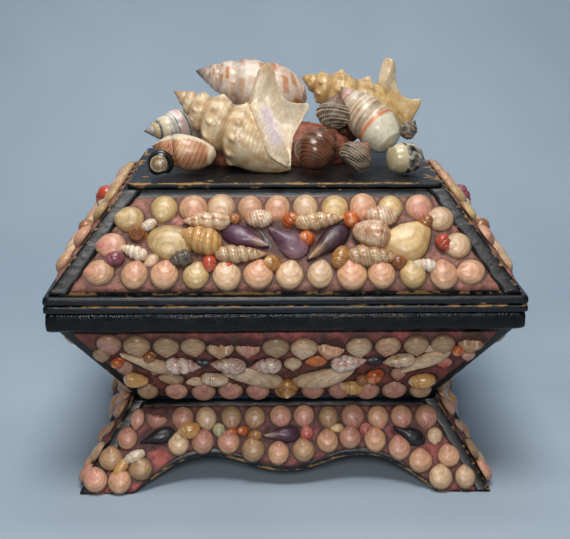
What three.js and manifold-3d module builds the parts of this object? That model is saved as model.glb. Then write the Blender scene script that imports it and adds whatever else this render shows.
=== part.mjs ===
// A shell-work casket: a scalloped stand, a tapered box and a hipped lid of black-papered board,
// covered with small shells bedded in putty, with a heap of large shells on the lid.
// Millimetres, +Z up, the front faces -Y, and the underside of the feet is at z = 0.
import * as THREE from 'three';
import { ConvexGeometry } from 'three/addons/geometries/ConvexGeometry.js';
import { mergeVertices } from 'three/addons/utils/BufferGeometryUtils.js';
import Module from 'manifold-3d';

const wasm = await Module();
wasm.setup();

// ---- Driving sizes ----
const PLAN_DIFFERENCE = 30; // at every level, half the length less half the width
const BOARD = 3; // thickness of the pasteboard
const GAP = 0.3; // between pieces that touch
const MITRE_GAP = 0.22; // taken off each mitred end

// A tier slopes from half length x0 at height z0 to half length x1 at height z1.
const STAND = { z0: 0, x0: 113, z1: 45, x1: 85 };
const BOX = { z0: 45.3, x0: 82.5, z1: 103.6, x1: 122.4 };
const LID = { z0: 117.7, x0: 121.8, z1: 165.4, x1: 85.5 };

const BINDING = { outerX: 125, innerX: 117 }; // the black edging of box and lid
const BOX_RIM = { z0: BOX.z1 + GAP, lipZ: 108.6, z1: 112.5, seatX: 122.6 };
const LID_RIM = { z0: BOX_RIM.z1 + GAP, z1: LID.z0 - GAP, round: 1.5 };
const BAND = { z0: 99, z1: BOX_RIM.lipZ - GAP, innerX: BOX_RIM.seatX + GAP, thickness: 1.2 };
const TOP_BOARD = { z0: LID.z1 + GAP, z1: LID.z1 + BOARD, x: 84.5 };

const PUTTY = 2; // thickness of the shell beds
// A bed runs up its slope from low to high, and ends margin short of the corners.
const BEDS = {
  stand: { low: 1, high: 48.6, margin: 6.5 },
  box: { low: 2.5, high: 61, margin: 5.5 },
  lid: { low: 2, high: 55, margin: 9.5 },
};
const ROUND = 14; // the common round shell
const STAND_ROUND = 12.4;
const ROUND_RELIEF = 3.2; // how far shells stand off their bed
const RELIEF = 4.4;
const SCALLOP = { foot: 84, arch: 42, archHeight: 21, lobeHeight: 12.3, margin: 3.4 };
const ARC_STEPS = 3;

// ---- Materials ----
const finish = (color, roughness) => new THREE.MeshStandardMaterial({ color, roughness, metalness: 0 });
const blackPaper = () => finish(0x191b20, 0.42);
const oilcloth = () => finish(0x101114, 0.25);
const smallShells = () => finish(0xc09a7c, 0.4);
const putty = () => finish(0x9c5a4c, 0.85);
const glossyShell = (color) => finish(color, 0.3);

// ---- Solids ----
function toSolid(geometry) {
  const bare = geometry.clone();
  bare.deleteAttribute('normal');
  bare.deleteAttribute('uv');
  const merged = mergeVertices(bare, 1e-4);
  const corners = merged.index.array;
  const kept = [];
  for (let i = 0; i < corners.length; i += 3) {
    const [a, b, c] = corners.slice(i, i + 3);
    if (a !== b && b !== c && c !== a) kept.push(a, b, c);
  }
  return new wasm.Manifold(new wasm.Mesh({
    numProp: 3,
    vertProperties: new Float32Array(merged.attributes.position.array),
    triVerts: new Uint32Array(kept),
  }));
}

function toGeometry(solid) {
  const mesh = solid.getMesh();
  const geometry = new THREE.BufferGeometry();
  geometry.setAttribute('position', new THREE.BufferAttribute(mesh.vertProperties, 3));
  geometry.setIndex(new THREE.BufferAttribute(mesh.triVerts, 1));
  return geometry;
}

// A flat shape given depth, with its underside at height z.
function extruded(shape, depth, z) {
  const settings = { depth, bevelEnabled: false, curveSegments: ARC_STEPS };
  return new THREE.ExtrudeGeometry(shape, settings).translate(0, 0, z);
}

const joined = (geometries) => geometries.map(toSolid).reduce((sum, solid) => sum.add(solid));

function named(name, geometry, material) {
  const mesh = new THREE.Mesh(geometry, material);
  mesh.name = name;
  return mesh;
}

// ---- The four sides ----
// A side is drawn facing -Y and then turned. wide is its half width less its depth from the centre.
const SIDES = [
  { name: 'front', turn: 0, wide: PLAN_DIFFERENCE },
  { name: 'right', turn: Math.PI / 2, wide: -PLAN_DIFFERENCE },
  { name: 'back', turn: Math.PI, wide: PLAN_DIFFERENCE },
  { name: 'left', turn: -Math.PI / 2, wide: -PLAN_DIFFERENCE },
];
const isLong = (side) => side.wide > 0;
const shortened = (side) => (isLong(side) ? 0 : PLAN_DIFFERENCE);
const depthAt = (side, x) => (isLong(side) ? x - PLAN_DIFFERENCE : x);

// A convex bar along one side, with mitred ends. Its section is a list of [half length x, height z].
function mitredBar(side, section) {
  const points = [];
  for (const [x, z] of section) {
    const depth = depthAt(side, x);
    const half = depth + side.wide - MITRE_GAP;
    points.push(new THREE.Vector3(-half, -depth, z), new THREE.Vector3(half, -depth, z));
  }
  return new ConvexGeometry(points);
}

function slopingBoard(side, { z0, x0, z1, x1 }) {
  const inset = BOARD * Math.hypot(1, (x1 - x0) / (z1 - z0));
  return mitredBar(side, [[x0, z0], [x1, z1], [x0 - inset, z0], [x1 - inset, z1]]);
}

// A sloping face: u runs along it and v up it from the middle of its lower edge, and Z stands off it.
function slopeOf(side, tier) {
  const rise = tier.z1 - tier.z0;
  const inward = tier.x0 - tier.x1;
  const height = Math.hypot(rise, inward);
  const frame = new THREE.Group();
  frame.position.set(0, -depthAt(side, tier.x0), tier.z0);
  frame.rotation.x = Math.atan2(rise, inward);
  frame.updateMatrix();
  const halfAt = (v) => depthAt(side, tier.x0) + side.wide - (v * inward) / height;
  return { frame, halfAt };
}

// ---- The scalloped edge of the stand: foot, arch, lobe, arch, foot ----
const scallopFoot = (side) => SCALLOP.foot - shortened(side);

// Continues a shape from the left foot to the right one, raised by lift at the arches.
function scallopedEdge(shape, side, lift) {
  const foot = scallopFoot(side);
  const arch = SCALLOP.arch - shortened(side) / 2;
  const rise = foot - arch;
  const footY = lift * 0.3;
  const archY = SCALLOP.archHeight + lift;
  const lobeY = SCALLOP.lobeHeight + lift * 0.7;
  shape.lineTo(-foot, footY);
  shape.bezierCurveTo(rise * 0.3 - foot, archY / 2, rise * 0.6 - foot, archY, -arch, archY);
  shape.bezierCurveTo(-arch * 0.6, archY, -arch * 0.4, lobeY, 0, lobeY);
  shape.bezierCurveTo(arch * 0.4, lobeY, arch * 0.6, archY, arch, archY);
  shape.bezierCurveTo(foot - rise * 0.6, archY, foot - rise * 0.3, archY / 2, foot, footY);
}

function standBoard(side) {
  const foot = scallopFoot(side);
  const below = -4 * BOARD;
  const opening = new THREE.Shape();
  opening.moveTo(foot, below);
  opening.lineTo(-foot, below);
  scallopedEdge(opening, side, 0);
  opening.closePath();
  const through = 4 * BOARD;
  const cutter = extruded(opening, through, -through / 2);
  cutter.applyMatrix4(slopeOf(side, STAND).frame.matrix);
  return toGeometry(toSolid(slopingBoard(side, STAND)).subtract(toSolid(cutter)));
}

// ---- Bindings, band and lid top ----
function boxRim(side) {
  const { z0, lipZ, z1, seatX } = BOX_RIM;
  const { outerX, innerX } = BINDING;
  const seat = mitredBar(side, [[seatX, z0], [innerX, z0], [innerX, z1], [seatX, z1]]);
  const lip = mitredBar(side, [[outerX, lipZ], [innerX, lipZ], [innerX, z1], [outerX, z1]]);
  return toGeometry(joined([seat, lip]));
}

function lidRim(side) {
  const { z0, z1, round } = LID_RIM;
  const { outerX, innerX } = BINDING;
  return mitredBar(side, [
    [innerX, z0], [innerX, z1], [outerX - round, z0], [outerX, z0 + round],
    [outerX, z1 - round], [outerX - round, z1],
  ]);
}

function rectangle(path, halfX, halfY) {
  path.moveTo(-halfX, -halfY);
  path.lineTo(halfX, -halfY);
  path.lineTo(halfX, halfY);
  path.lineTo(-halfX, halfY);
  path.closePath();
  return path;
}

function oilclothBand() {
  const outerX = BAND.innerX + BAND.thickness;
  const outline = rectangle(new THREE.Shape(), outerX, outerX - PLAN_DIFFERENCE);
  outline.holes.push(rectangle(new THREE.Path(), BAND.innerX, BAND.innerX - PLAN_DIFFERENCE));
  return extruded(outline, BAND.z1 - BAND.z0, BAND.z0);
}

// A flat board between two heights, under or over a tier.
function flatBoard(halfX, z0, z1) {
  const board = new THREE.BoxGeometry(2 * halfX, 2 * (halfX - PLAN_DIFFERENCE), z1 - z0);
  return board.translate(0, 0, (z0 + z1) / 2);
}

// ---- Small shells: each a low convex form on its bed ----
const corner = (x, y, z) => new THREE.Vector3(x, y, z);

function ring(radiusX, radiusY, z, sides) {
  const angles = Array.from({ length: sides }, (_, i) => (i / sides) * 2 * Math.PI);
  return angles.map((angle) => corner(radiusX * Math.cos(angle), radiusY * Math.sin(angle), z));
}

function dome({ length, width, height, plain }) {
  if (plain) return new ConvexGeometry([...ring(length / 2, width / 2, 0, 5), corner(0, 0, height)]);
  return new ConvexGeometry([
    ...ring(length / 2, width / 2, 0, 6), ...ring(length * 0.28, width * 0.28, height, 3),
  ]);
}

function spindle({ length, width, height }) {
  const points = [];
  for (const [along, girth] of [[-0.5, 0.2], [0.12, 1], [0.5, 0.35]]) {
    const half = (width / 2) * girth;
    points.push(corner(along * length, -half, 0), corner(along * length, half, 0));
    points.push(corner(along * length, 0, height * girth));
  }
  return new ConvexGeometry(points);
}

function mussel({ length, width, height }) {
  const points = [corner(-0.3 * length, 0, 0.8 * height), corner(0.2 * length, 0, height)];
  for (const [along, across] of [[-0.5, 0], [-0.1, 0.42], [0.3, 0.5], [0.5, 0.12]]) {
    points.push(corner(along * length, across * width, 0), corner(along * length, -across * width, 0));
  }
  return new ConvexGeometry(points);
}

const FORMS = { dome, spindle, mussel };

function smallShell(shell) {
  const geometry = FORMS[shell.form](shell);
  geometry.rotateZ(THREE.MathUtils.degToRad(shell.turn));
  return geometry.translate(shell.u, shell.v, PUTTY + GAP);
}

// A bed of putty with its shells, as one piece. Only the front's round shells have domed tops.
function shellBed(outline, shells, plain) {
  const forms = shells.map((shell) => smallShell({ ...shell, plain }));
  return toGeometry(joined([extruded(outline, PUTTY, GAP), ...forms]));
}

function bedOutline(slope, { low, high, margin }) {
  const lowHalf = slope.halfAt(low) - margin;
  const highHalf = slope.halfAt(high) - margin;
  const outline = new THREE.Shape();
  outline.moveTo(lowHalf, low);
  outline.lineTo(highHalf, high);
  outline.lineTo(-highHalf, high);
  outline.lineTo(-lowHalf, low);
  return outline;
}

// ---- Where the small shells lie ----
// [form, u, v, length, width, turn in degrees, height off the putty]
const LID_FRONT = [
  ['dome', -61, 28, 22, 18, 10], ['dome', -77, 33, 11, 10], ['spindle', -79, 22, 17, 6, -20],
  ['dome', -88, 18, 10, 6, 20], ['dome', -54, 18, 11, 7, 15], ['spindle', -40, 39.5, 23, 7, 180],
  ['spindle', -43.5, 28, 22, 11, -22], ['dome', -27, 41, 6, 6], ['dome', -39.5, 16, 6, 6],
  ['spindle', -24, 21, 22, 7], ['mussel', -22, 28.5, 26, 12, -20], ['dome', -13, 41, 13, 8, 5],
  ['mussel', 1, 28.5, 22, 13, -30], ['dome', -7, 15.5, 6, 6], ['dome', 2.5, 40.5, 7, 6],
  ['spindle', 16, 39.5, 24, 7, 8], ['dome', 11, 29.5, 7, 7], ['mussel', 21.5, 25.5, 28, 12, 40],
  ['dome', 34.5, 40.5, 6, 6], ['dome', 30, 17, 9, 9, 60], ['spindle', 43.5, 31.5, 18, 13, -15],
  ['spindle', 46, 19, 27, 7, 4], ['dome', 51, 42, 16, 8, 5], ['mussel', 63, 28, 24, 18, -35],
  ['spindle', 72, 14.5, 13, 6, -10], ['dome', 73.5, 39, 7, 6], ['dome', 82, 27, 8, 7],
];
// Right halves of the patterns that mirror.
const LID_BACK = [
  ['dome', 62, 28, 22, 17, 10], ['spindle', 40, 36, 22, 8, 8], ['mussel', 38, 22, 24, 11, 15],
  ['dome', 14, 28, 20, 13, 8],
];
const LID_END = [
  ['mussel', 32, 22, 20, 10, 25], ['spindle', 18, 36, 18, 7, 10], ['dome', 44, 27, 12, 10],
];
const BOX_FRONT = [
  ['mussel', 75, 37, 32, 11, 145], ['dome', 94, 43, 9, 7], ['dome', 88, 33, 9, 8],
  ['spindle', 57, 36.5, 17, 9], ['dome', 44, 36, 9, 9], ['spindle', 30, 37, 17, 9, 180],
  ['spindle', 11.5, 36.5, 15, 9, 180], ['dome', 78, 21, 12, 9], ['dome', 61, 22.5, 11, 9],
  ['dome', 49, 21, 9, 8], ['spindle', 35, 25, 13, 8, 10], ['mussel', 21, 20, 27, 10, 25],
];
const BOX_BACK = [
  ['mussel', 75, 37, 32, 11, 145], ['spindle', 52, 35, 18, 9], ['spindle', 27, 35, 18, 9, 180],
  ['dome', 9, 35, 12, 9], ['dome', 58, 22, 16, 10], ['mussel', 21, 20, 27, 10, 25],
];
const BOX_END = [
  ['mussel', 47, 35, 28, 10, 145], ['spindle', 27, 34, 17, 9], ['spindle', 9, 34, 15, 9, 180],
  ['dome', 40, 21, 11, 9], ['mussel', 18, 21, 24, 10, 25],
];
const STAND_LONG = [
  ['mussel', 69, 31.5, 17, 8, -22], ['dome', 52.5, 34, 9, 8], ['dome', 37, 34.5, 10, 8],
  ['dome', 21, 33, 7, 6], ['dome', 84, 31, 9, 8],
];
const STAND_END = [['mussel', 42, 31.5, 16, 8, -22], ['dome', 26, 33.5, 9, 8], ['dome', 55, 31, 9, 8]];
// Single shells.
const BOX_CENTRE = [['dome', 0, 14, 13, 13]];
const STAND_CENTRE = [['mussel', -1, 31.7, 17, 8, 3]];
const TALL_SHELL = { left: [['dome', -10, 33, 16, 11, 60, 9]], right: [['dome', 8, 33, 15, 10, 70, 9]] };
// Round shells up each end of a lid bed, and on each foot, as [u, v].
const LID_ENDS = [[96, 11.5], [90, 26.5], [81.5, 41]];
const FEET = [[104, 8], [91, 8], [98, 20]];

function placed(list) {
  return list.map(([form, u, v, length, width, turn = 0, height = RELIEF]) => (
    { form, u, v, length, width, turn, height }
  ));
}

function mirrored(list) {
  const right = placed(list);
  return [...right, ...right.map((shell) => ({ ...shell, u: -shell.u, turn: 180 - shell.turn }))];
}

const roundShell = (u, v, size) => (
  { form: 'dome', u, v, length: size, width: size, turn: 0, height: ROUND_RELIEF }
);

// Round shells evenly spaced from u = -reach to reach, at the heights that the function v gives.
function row(count, reach, v, size = ROUND) {
  const step = (2 * reach) / (count - 1);
  return Array.from({ length: count }, (_, i) => roundShell(i * step - reach, v(i * step - reach), size));
}

const pair = ([u, v], side, size) => [
  roundShell(u - shortened(side), v, size), roundShell(shortened(side) - u, v, size),
];

function lidShells(side) {
  const shells = [
    ...row(isLong(side) ? 11 : 7, 80 - shortened(side), () => 9.5),
    ...row(isLong(side) ? 10 : 6, 67 - shortened(side), () => 48),
    ...LID_ENDS.flatMap((place) => pair(place, side, ROUND)),
  ];
  if (side.name === 'front') return [...shells, ...placed(LID_FRONT)];
  if (side.name === 'back') return [...shells, ...mirrored(LID_BACK)];
  return [...shells, ...mirrored(LID_END), ...placed(TALL_SHELL[side.name])];
}

// The upper row sags a little in the middle, like a garland.
function boxShells(side) {
  const reach = 98 - shortened(side);
  const shells = [
    ...row(isLong(side) ? 15 : 10, reach, (u) => 51 + 4 * (u / reach) ** 2),
    ...row(isLong(side) ? 11 : 7, 76 - shortened(side), () => 9),
  ];
  if (side.name === 'front') return [...shells, ...mirrored(BOX_FRONT), ...placed(BOX_CENTRE)];
  if (side.name === 'back') return [...shells, ...mirrored(BOX_BACK)];
  return [...shells, ...mirrored(BOX_END)];
}

// A row along the top, one that follows the scallops, and the shells of the feet.
function standShells(side) {
  const edge = new THREE.Path();
  edge.moveTo(-scallopFoot(side), 0);
  scallopedEdge(edge, side, SCALLOP.margin);
  const along = edge.getSpacedPoints(isLong(side) ? 13 : 8).slice(1, -1);
  const shells = [
    ...row(isLong(side) ? 13 : 8, 80 - shortened(side), () => 42.3, STAND_ROUND),
    ...along.map(({ x, y }) => roundShell(x, y + STAND_ROUND / 2, STAND_ROUND)),
    ...FEET.flatMap((place) => pair(place, side, STAND_ROUND)),
  ];
  if (isLong(side)) return [...shells, ...mirrored(STAND_LONG), ...placed(STAND_CENTRE)];
  return [...shells, ...mirrored(STAND_END)];
}

function standBedOutline(slope, side) {
  const outline = bedOutline(slope, BEDS.stand);
  scallopedEdge(outline, side, SCALLOP.margin);
  return outline;
}

// ---- The heap of large shells ----
const HEAP_FLOOR = TOP_BOARD.z1;
const SPIRAL_SIDES = 7;
const WING_THICKNESS = 3;
const MOUND = { x: 2, y: 8, halfLength: 60, halfWidth: 30, height: 24, topShare: 0.62, sides: 10 };
const SEAT_CLEARANCE = 1.05; // the putty's seats are this much larger than the shells in them

// apex and towards are the two ends of a shell, and out is the way its lip faces. spire is the share of
// the length above the body whorl, belly the place of the widest girth, mouth the girth left at the end.
const HEAP = [
  {
    name: 'ivory_shell', color: 0xe2c9a6, apex: [-51, 18, 220], towards: [14, 19, 203], width: 34,
    spire: 0.42, whorls: 4, belly: 0.62, mouth: 0.3,
  },
  {
    name: 'conch_front', color: 0xe6d3ae, apex: [-62, -9, 212], towards: [4, -26, 170], width: 33,
    spire: 0.4, whorls: 4, belly: 0.52, mouth: 0.12, out: [0.55, 0.22, 0.8],
    wing: { root: 30, finger: [42, 37], saddle: [30, 57], lobe: [36, 68] },
  },
  {
    name: 'conch_back', color: 0xd9bd85, apex: [11, 30, 216], towards: [76, 26, 186], width: 30,
    spire: 0.36, whorls: 3, belly: 0.5, mouth: 0.15, out: [0.3, 0.1, 0.95],
    wing: { root: 38, finger: [31, 43.5], saddle: [15, 60], lobe: [18.5, 69] },
  },
  {
    name: 'tree_snail_left', color: 0xefece4, apex: [-80, -3, 188], towards: [-44, 16, 190], width: 22,
    spire: 0.45, whorls: 4, belly: 0.62, mouth: 0.5,
  },
  {
    name: 'tree_snail_right', color: 0xd9d2c2, apex: [33, 6, 212], towards: [61, -19, 182], width: 26,
    spire: 0.42, whorls: 4, belly: 0.62, mouth: 0.5,
  },
  {
    name: 'volute', color: 0xb56a3e, apex: [-73, -28, 184], towards: [-37.5, -31, 179], width: 22,
    spire: 0.24, whorls: 2, belly: 0.5, mouth: 0.3,
  },
  {
    name: 'nerite_left', color: 0x1c1a1c, apex: [-68, -48, 177.5], towards: [-67, -39.5, 176.5], width: 15,
    spire: 0.25, whorls: 2, belly: 0.7, mouth: 0.7,
  },
  {
    name: 'turban', color: 0x6e4a3a, apex: [27.4, -20.5, 191], towards: [9.6, -35.2, 174], width: 23,
    spire: 0.32, whorls: 3, belly: 0.58, mouth: 0.55,
  },
  {
    name: 'top_shell_high', color: 0xaa9478, apex: [31, -8, 211], towards: [25.5, -19, 192], width: 19,
    spire: 0.45, whorls: 3, belly: 0.6, mouth: 0.3,
  },
  {
    name: 'top_shell_low', color: 0x8d8475, apex: [47, -31, 186], towards: [35, -35, 174], width: 19,
    spire: 0.4, whorls: 3, belly: 0.62, mouth: 0.6,
  },
  {
    name: 'nerite_right', color: 0x23252b, apex: [77, -26, 177], towards: [58, -35, 178], width: 18,
    spire: 0.2, whorls: 2, belly: 0.55, mouth: 0.65,
  },
  {
    name: 'top_shell_small', color: 0x7d7263, apex: [73, -23, 197], towards: [66, -28, 188.5], width: 10,
    spire: 0.45, whorls: 2, belly: 0.6, mouth: 0.5,
  },
  {
    name: 'olive_back', color: 0xb08a5e, apex: [-28, 45, 178], towards: [8, 47, 177.5], width: 16,
    spire: 0.18, whorls: 2, belly: 0.45, mouth: 0.5,
  },
  {
    name: 'turban_back', color: 0x7b5442, apex: [31, 40, 190], towards: [43, 45, 174], width: 19,
    spire: 0.34, whorls: 2, belly: 0.58, mouth: 0.5,
  },
  {
    name: 'cone_back', color: 0xd8c3a0, apex: [-66, 33, 180], towards: [-36, 43, 177], width: 15,
    spire: 0.2, whorls: 2, belly: 0.3, mouth: 0.3,
  },
];

const lengthOf = ({ apex, towards }) => corner(...apex).distanceTo(corner(...towards));

// Half the outline of a spiral shell, apex first: whorls that step outwards, the body whorl, the mouth.
function spiralProfile(shell) {
  const { width, spire, whorls, belly, mouth } = shell;
  const length = lengthOf(shell);
  const radius = width / 2;
  const points = [new THREE.Vector2(0, 0)];
  for (let i = 1; i <= whorls; i += 1) {
    const share = i / whorls;
    const y = spire * length * share ** 1.3;
    points.push(new THREE.Vector2(0.82 * radius * share, y - 0.03 * length * share));
    if (i < whorls) points.push(new THREE.Vector2(0.7 * radius * share, y));
  }
  points.push(new THREE.Vector2(radius, belly * length));
  points.push(new THREE.Vector2(radius * (0.4 + 0.6 * mouth), (0.4 * belly + 0.6) * length));
  points.push(new THREE.Vector2(radius * mouth, length), new THREE.Vector2(0, length));
  return points;
}

// A conch's flared lip: a plate with a finger and a lobe. The places are [out from the axis, along it].
function lipPlate(shell) {
  const { root, finger, saddle, lobe } = shell.wing;
  const tip = 3;
  const outline = new THREE.Shape();
  outline.moveTo(2, root);
  outline.quadraticCurveTo(0.5 * finger[0], finger[1] + tip, finger[0] - tip, finger[1] - tip);
  outline.quadraticCurveTo(finger[0] + tip, finger[1], finger[0] - tip, finger[1] + tip);
  outline.quadraticCurveTo(saddle[0] + tip, saddle[1] - 2 * tip, saddle[0], saddle[1]);
  outline.lineTo(lobe[0], lobe[1] - tip);
  outline.lineTo(lobe[0] - 2 * tip, lobe[1] + tip);
  outline.lineTo(tip, lengthOf(shell) - tip);
  outline.closePath();
  return extruded(outline, WING_THICKNESS, -WING_THICKNESS / 2);
}

function heapShell(shell) {
  const along = corner(...shell.towards).sub(corner(...shell.apex)).normalize();
  const out = corner(...(shell.out ?? [0, 0, 1]));
  out.addScaledVector(along, -out.dot(along)).normalize();
  const turned = new THREE.Matrix4().makeBasis(out, along, out.clone().cross(along));
  const body = new THREE.LatheGeometry(spiralProfile(shell), SPIRAL_SIDES);
  const solid = shell.wing ? joined([body, lipPlate(shell)]) : toSolid(body);
  return toGeometry(solid).applyMatrix4(turned.setPosition(...shell.apex));
}

// The same shell, slightly larger about its own middle.
function seatOf(geometry) {
  const grown = geometry.clone();
  grown.computeBoundingBox();
  const middle = grown.boundingBox.getCenter(new THREE.Vector3());
  grown.translate(...middle.clone().negate()).scale(SEAT_CLEARANCE, SEAT_CLEARANCE, SEAT_CLEARANCE);
  return toSolid(grown.translate(...middle));
}

// The lump of putty that the heap is set in.
function puttyMound(shells) {
  const { x, y, halfLength, halfWidth, height, topShare, sides } = MOUND;
  const low = ring(halfLength, halfWidth, HEAP_FLOOR + GAP, sides);
  const high = ring(halfLength * topShare, halfWidth * topShare, HEAP_FLOOR + height, sides);
  const lump = toSolid(new ConvexGeometry([...low, ...high]).translate(x, y, 0));
  return toGeometry(shells.reduce((rest, geometry) => rest.subtract(seatOf(geometry)), lump));
}

// ---- The casket ----
const casket = new THREE.Group();

for (const side of SIDES) {
  const face = new THREE.Group();
  face.rotation.z = side.turn;
  casket.add(face);
  const addBed = (name, tier, outlineOn, shells) => {
    const slope = slopeOf(side, tier);
    const geometry = shellBed(outlineOn(slope), shells, side.name !== 'front');
    slope.frame.add(named(`${name}_${side.name}`, geometry, smallShells()));
    face.add(slope.frame);
  };
  const add = (name, geometry) => face.add(named(`${name}_${side.name}`, geometry, blackPaper()));
  add('stand_board', standBoard(side));
  add('box_wall', slopingBoard(side, BOX));
  add('box_rim', boxRim(side));
  add('lid_rim', lidRim(side));
  add('lid_board', slopingBoard(side, LID));
  addBed('stand_shells', STAND, (slope) => standBedOutline(slope, side), standShells(side));
  addBed('box_shells', BOX, (slope) => bedOutline(slope, BEDS.box), boxShells(side));
  addBed('lid_shells', LID, (slope) => bedOutline(slope, BEDS.lid), lidShells(side));
}

casket.add(named('box_floor', flatBoard(BOX.x0 - 2 * BOARD, BOX.z0, BOX.z0 + BOARD), blackPaper()));
casket.add(named('oilcloth_band', oilclothBand(), oilcloth()));
casket.add(named('lid_top_board', flatBoard(TOP_BOARD.x, TOP_BOARD.z0, TOP_BOARD.z1), blackPaper()));

const heapShells = HEAP.map(heapShell);
HEAP.forEach(({ name, color }, i) => casket.add(named(name, heapShells[i], glossyShell(color))));
casket.add(named('top_putty', puttyMound(heapShells), putty()));

export default casket;
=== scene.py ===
# A shell-work casket: black-papered boards, an oilcloth band, and shells bedded in pink putty.
# Sizes are millimetres until a mesh is made. The front faces -Y.
import math

import bpy
import numpy as np
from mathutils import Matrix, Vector


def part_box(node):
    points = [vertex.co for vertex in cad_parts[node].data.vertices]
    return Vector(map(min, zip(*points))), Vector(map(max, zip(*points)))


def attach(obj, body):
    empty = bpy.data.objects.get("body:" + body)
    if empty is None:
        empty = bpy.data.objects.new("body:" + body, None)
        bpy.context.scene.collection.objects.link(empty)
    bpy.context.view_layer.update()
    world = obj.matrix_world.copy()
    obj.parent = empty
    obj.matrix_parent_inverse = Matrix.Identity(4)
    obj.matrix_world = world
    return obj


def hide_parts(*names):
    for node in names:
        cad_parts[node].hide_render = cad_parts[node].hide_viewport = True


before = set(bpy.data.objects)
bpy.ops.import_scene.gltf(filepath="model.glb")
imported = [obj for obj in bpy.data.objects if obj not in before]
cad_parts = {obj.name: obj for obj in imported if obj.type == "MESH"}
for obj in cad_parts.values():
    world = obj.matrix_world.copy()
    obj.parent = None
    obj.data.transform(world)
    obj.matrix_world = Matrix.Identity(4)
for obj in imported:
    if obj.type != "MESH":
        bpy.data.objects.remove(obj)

MM = 0.001
TAU = 2.0 * math.pi
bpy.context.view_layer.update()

# ---- Driving sizes ----
PLAN_DIFFERENCE = 30.0  # at every level, half the length less half the width
BOARD = 3.0
PUTTY = 2.2  # how far the putty stands off its board
ROUND = 15.4  # the common round shell
STAND_ROUND = 13.4
SCALLOP = {"foot": 84.0, "arch": 42.0, "arch_height": 21.0, "lobe_height": 12.3, "margin": 3.4}
TURNS = {"front": 0.0, "right": 90.0, "back": 180.0, "left": 270.0}
LONG_SIDES = ("front", "back")

# ---- Colour ----


def srgb(code):
    """A #rrggbb colour as linear light."""
    parts = np.array([int(code[i:i + 2], 16) for i in (1, 3, 5)]) / 255.0
    return np.where(parts <= 0.04045, parts / 12.92, ((parts + 0.055) / 1.055) ** 2.4)


def mixed(first, second, share):
    share = np.clip(np.asarray(share, float), 0.0, 1.0)[..., None]
    return first * (1.0 - share) + second * share


def soft_step(low, high, value):
    share = np.clip((value - low) / (high - low), 0.0, 1.0)
    return share * share * (3.0 - 2.0 * share)


def wander(points, size, seed):
    """Smooth noise, about -1 to 1, in lumps about size across."""
    random = np.random.default_rng(seed)
    total = np.zeros(len(points))
    for _ in range(7):
        direction = random.normal(size=points.shape[1])
        direction /= np.linalg.norm(direction)
        pitch = TAU / size * random.uniform(0.55, 1.4)
        total += np.sin(points @ direction * pitch + random.uniform(0.0, TAU))
    return np.clip(total / 3.2, -1.0, 1.0)


# ---- Materials ----


class Nodes:
    """A material's node tree, with short ways to add and join nodes."""

    def __init__(self, name):
        self.material = bpy.data.materials.new(name)
        self.material.use_nodes = True
        self.tree = self.material.node_tree
        self.shader = self.tree.nodes["Principled BSDF"]
        self.place = self.tree.nodes.new("ShaderNodeTexCoord").outputs["Object"]

    def add(self, kind, **settings):
        node = self.tree.nodes.new(kind)
        for key, value in settings.items():
            setattr(node, key, value)
        return node

    def join(self, source, target):
        self.tree.links.new(source, target)

    def attribute(self, name, output="Fac"):
        return self.add("ShaderNodeAttribute", attribute_name=name).outputs[output]

    def noise(self, scale, detail=3.0, roughness=0.55, stretch=None):
        node = self.add("ShaderNodeTexNoise")
        node.inputs["Scale"].default_value = scale
        node.inputs["Detail"].default_value = detail
        node.inputs["Roughness"].default_value = roughness
        source = self.place
        if stretch:
            mapping = self.add("ShaderNodeMapping")
            mapping.inputs["Scale"].default_value = stretch
            self.join(source, mapping.inputs["Vector"])
            source = mapping.outputs["Vector"]
        self.join(source, node.inputs["Vector"])
        return node.outputs["Fac"]

    def math(self, operation, first, second=0.0):
        node = self.add("ShaderNodeMath", operation=operation)
        for socket, value in zip(node.inputs, (first, second)):
            if isinstance(value, (int, float)):
                socket.default_value = value
            else:
                self.join(value, socket)
        return node.outputs[0]

    def remap(self, value, low, high, to_low, to_high):
        node = self.add("ShaderNodeMapRange")
        self.join(value, node.inputs["Value"])
        for name, number in zip(("From Min", "From Max", "To Min", "To Max"), (low, high, to_low, to_high)):
            node.inputs[name].default_value = number
        return node.outputs["Result"]

    def blend(self, first, second, share, mode="MIX"):
        node = self.add("ShaderNodeMix", data_type="RGBA", blend_type=mode)
        for socket, value in ((node.inputs[6], first), (node.inputs[7], second)):
            if isinstance(value, str):
                socket.default_value = (*srgb(value), 1.0)
            else:
                self.join(value, socket)
        if isinstance(share, float):
            node.inputs[0].default_value = share
        else:
            self.join(share, node.inputs[0])
        return node.outputs[2]

    def finish(self, colour, roughness, height, depth, **shader):
        """Joins the colour, roughness and bump, and sets the shader's plain values."""
        bump = self.add("ShaderNodeBump")
        bump.inputs["Distance"].default_value = depth * MM
        bump.inputs["Strength"].default_value = 1.0
        self.join(height, bump.inputs["Height"])
        self.join(bump.outputs["Normal"], self.shader.inputs["Normal"])
        self.join(colour, self.shader.inputs["Base Color"])
        self.join(roughness, self.shader.inputs["Roughness"])
        for name, value in shader.items():
            self.shader.inputs[name.replace("_", " ").title().replace("Ior", "IOR")].default_value = value
        return self.material


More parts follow.
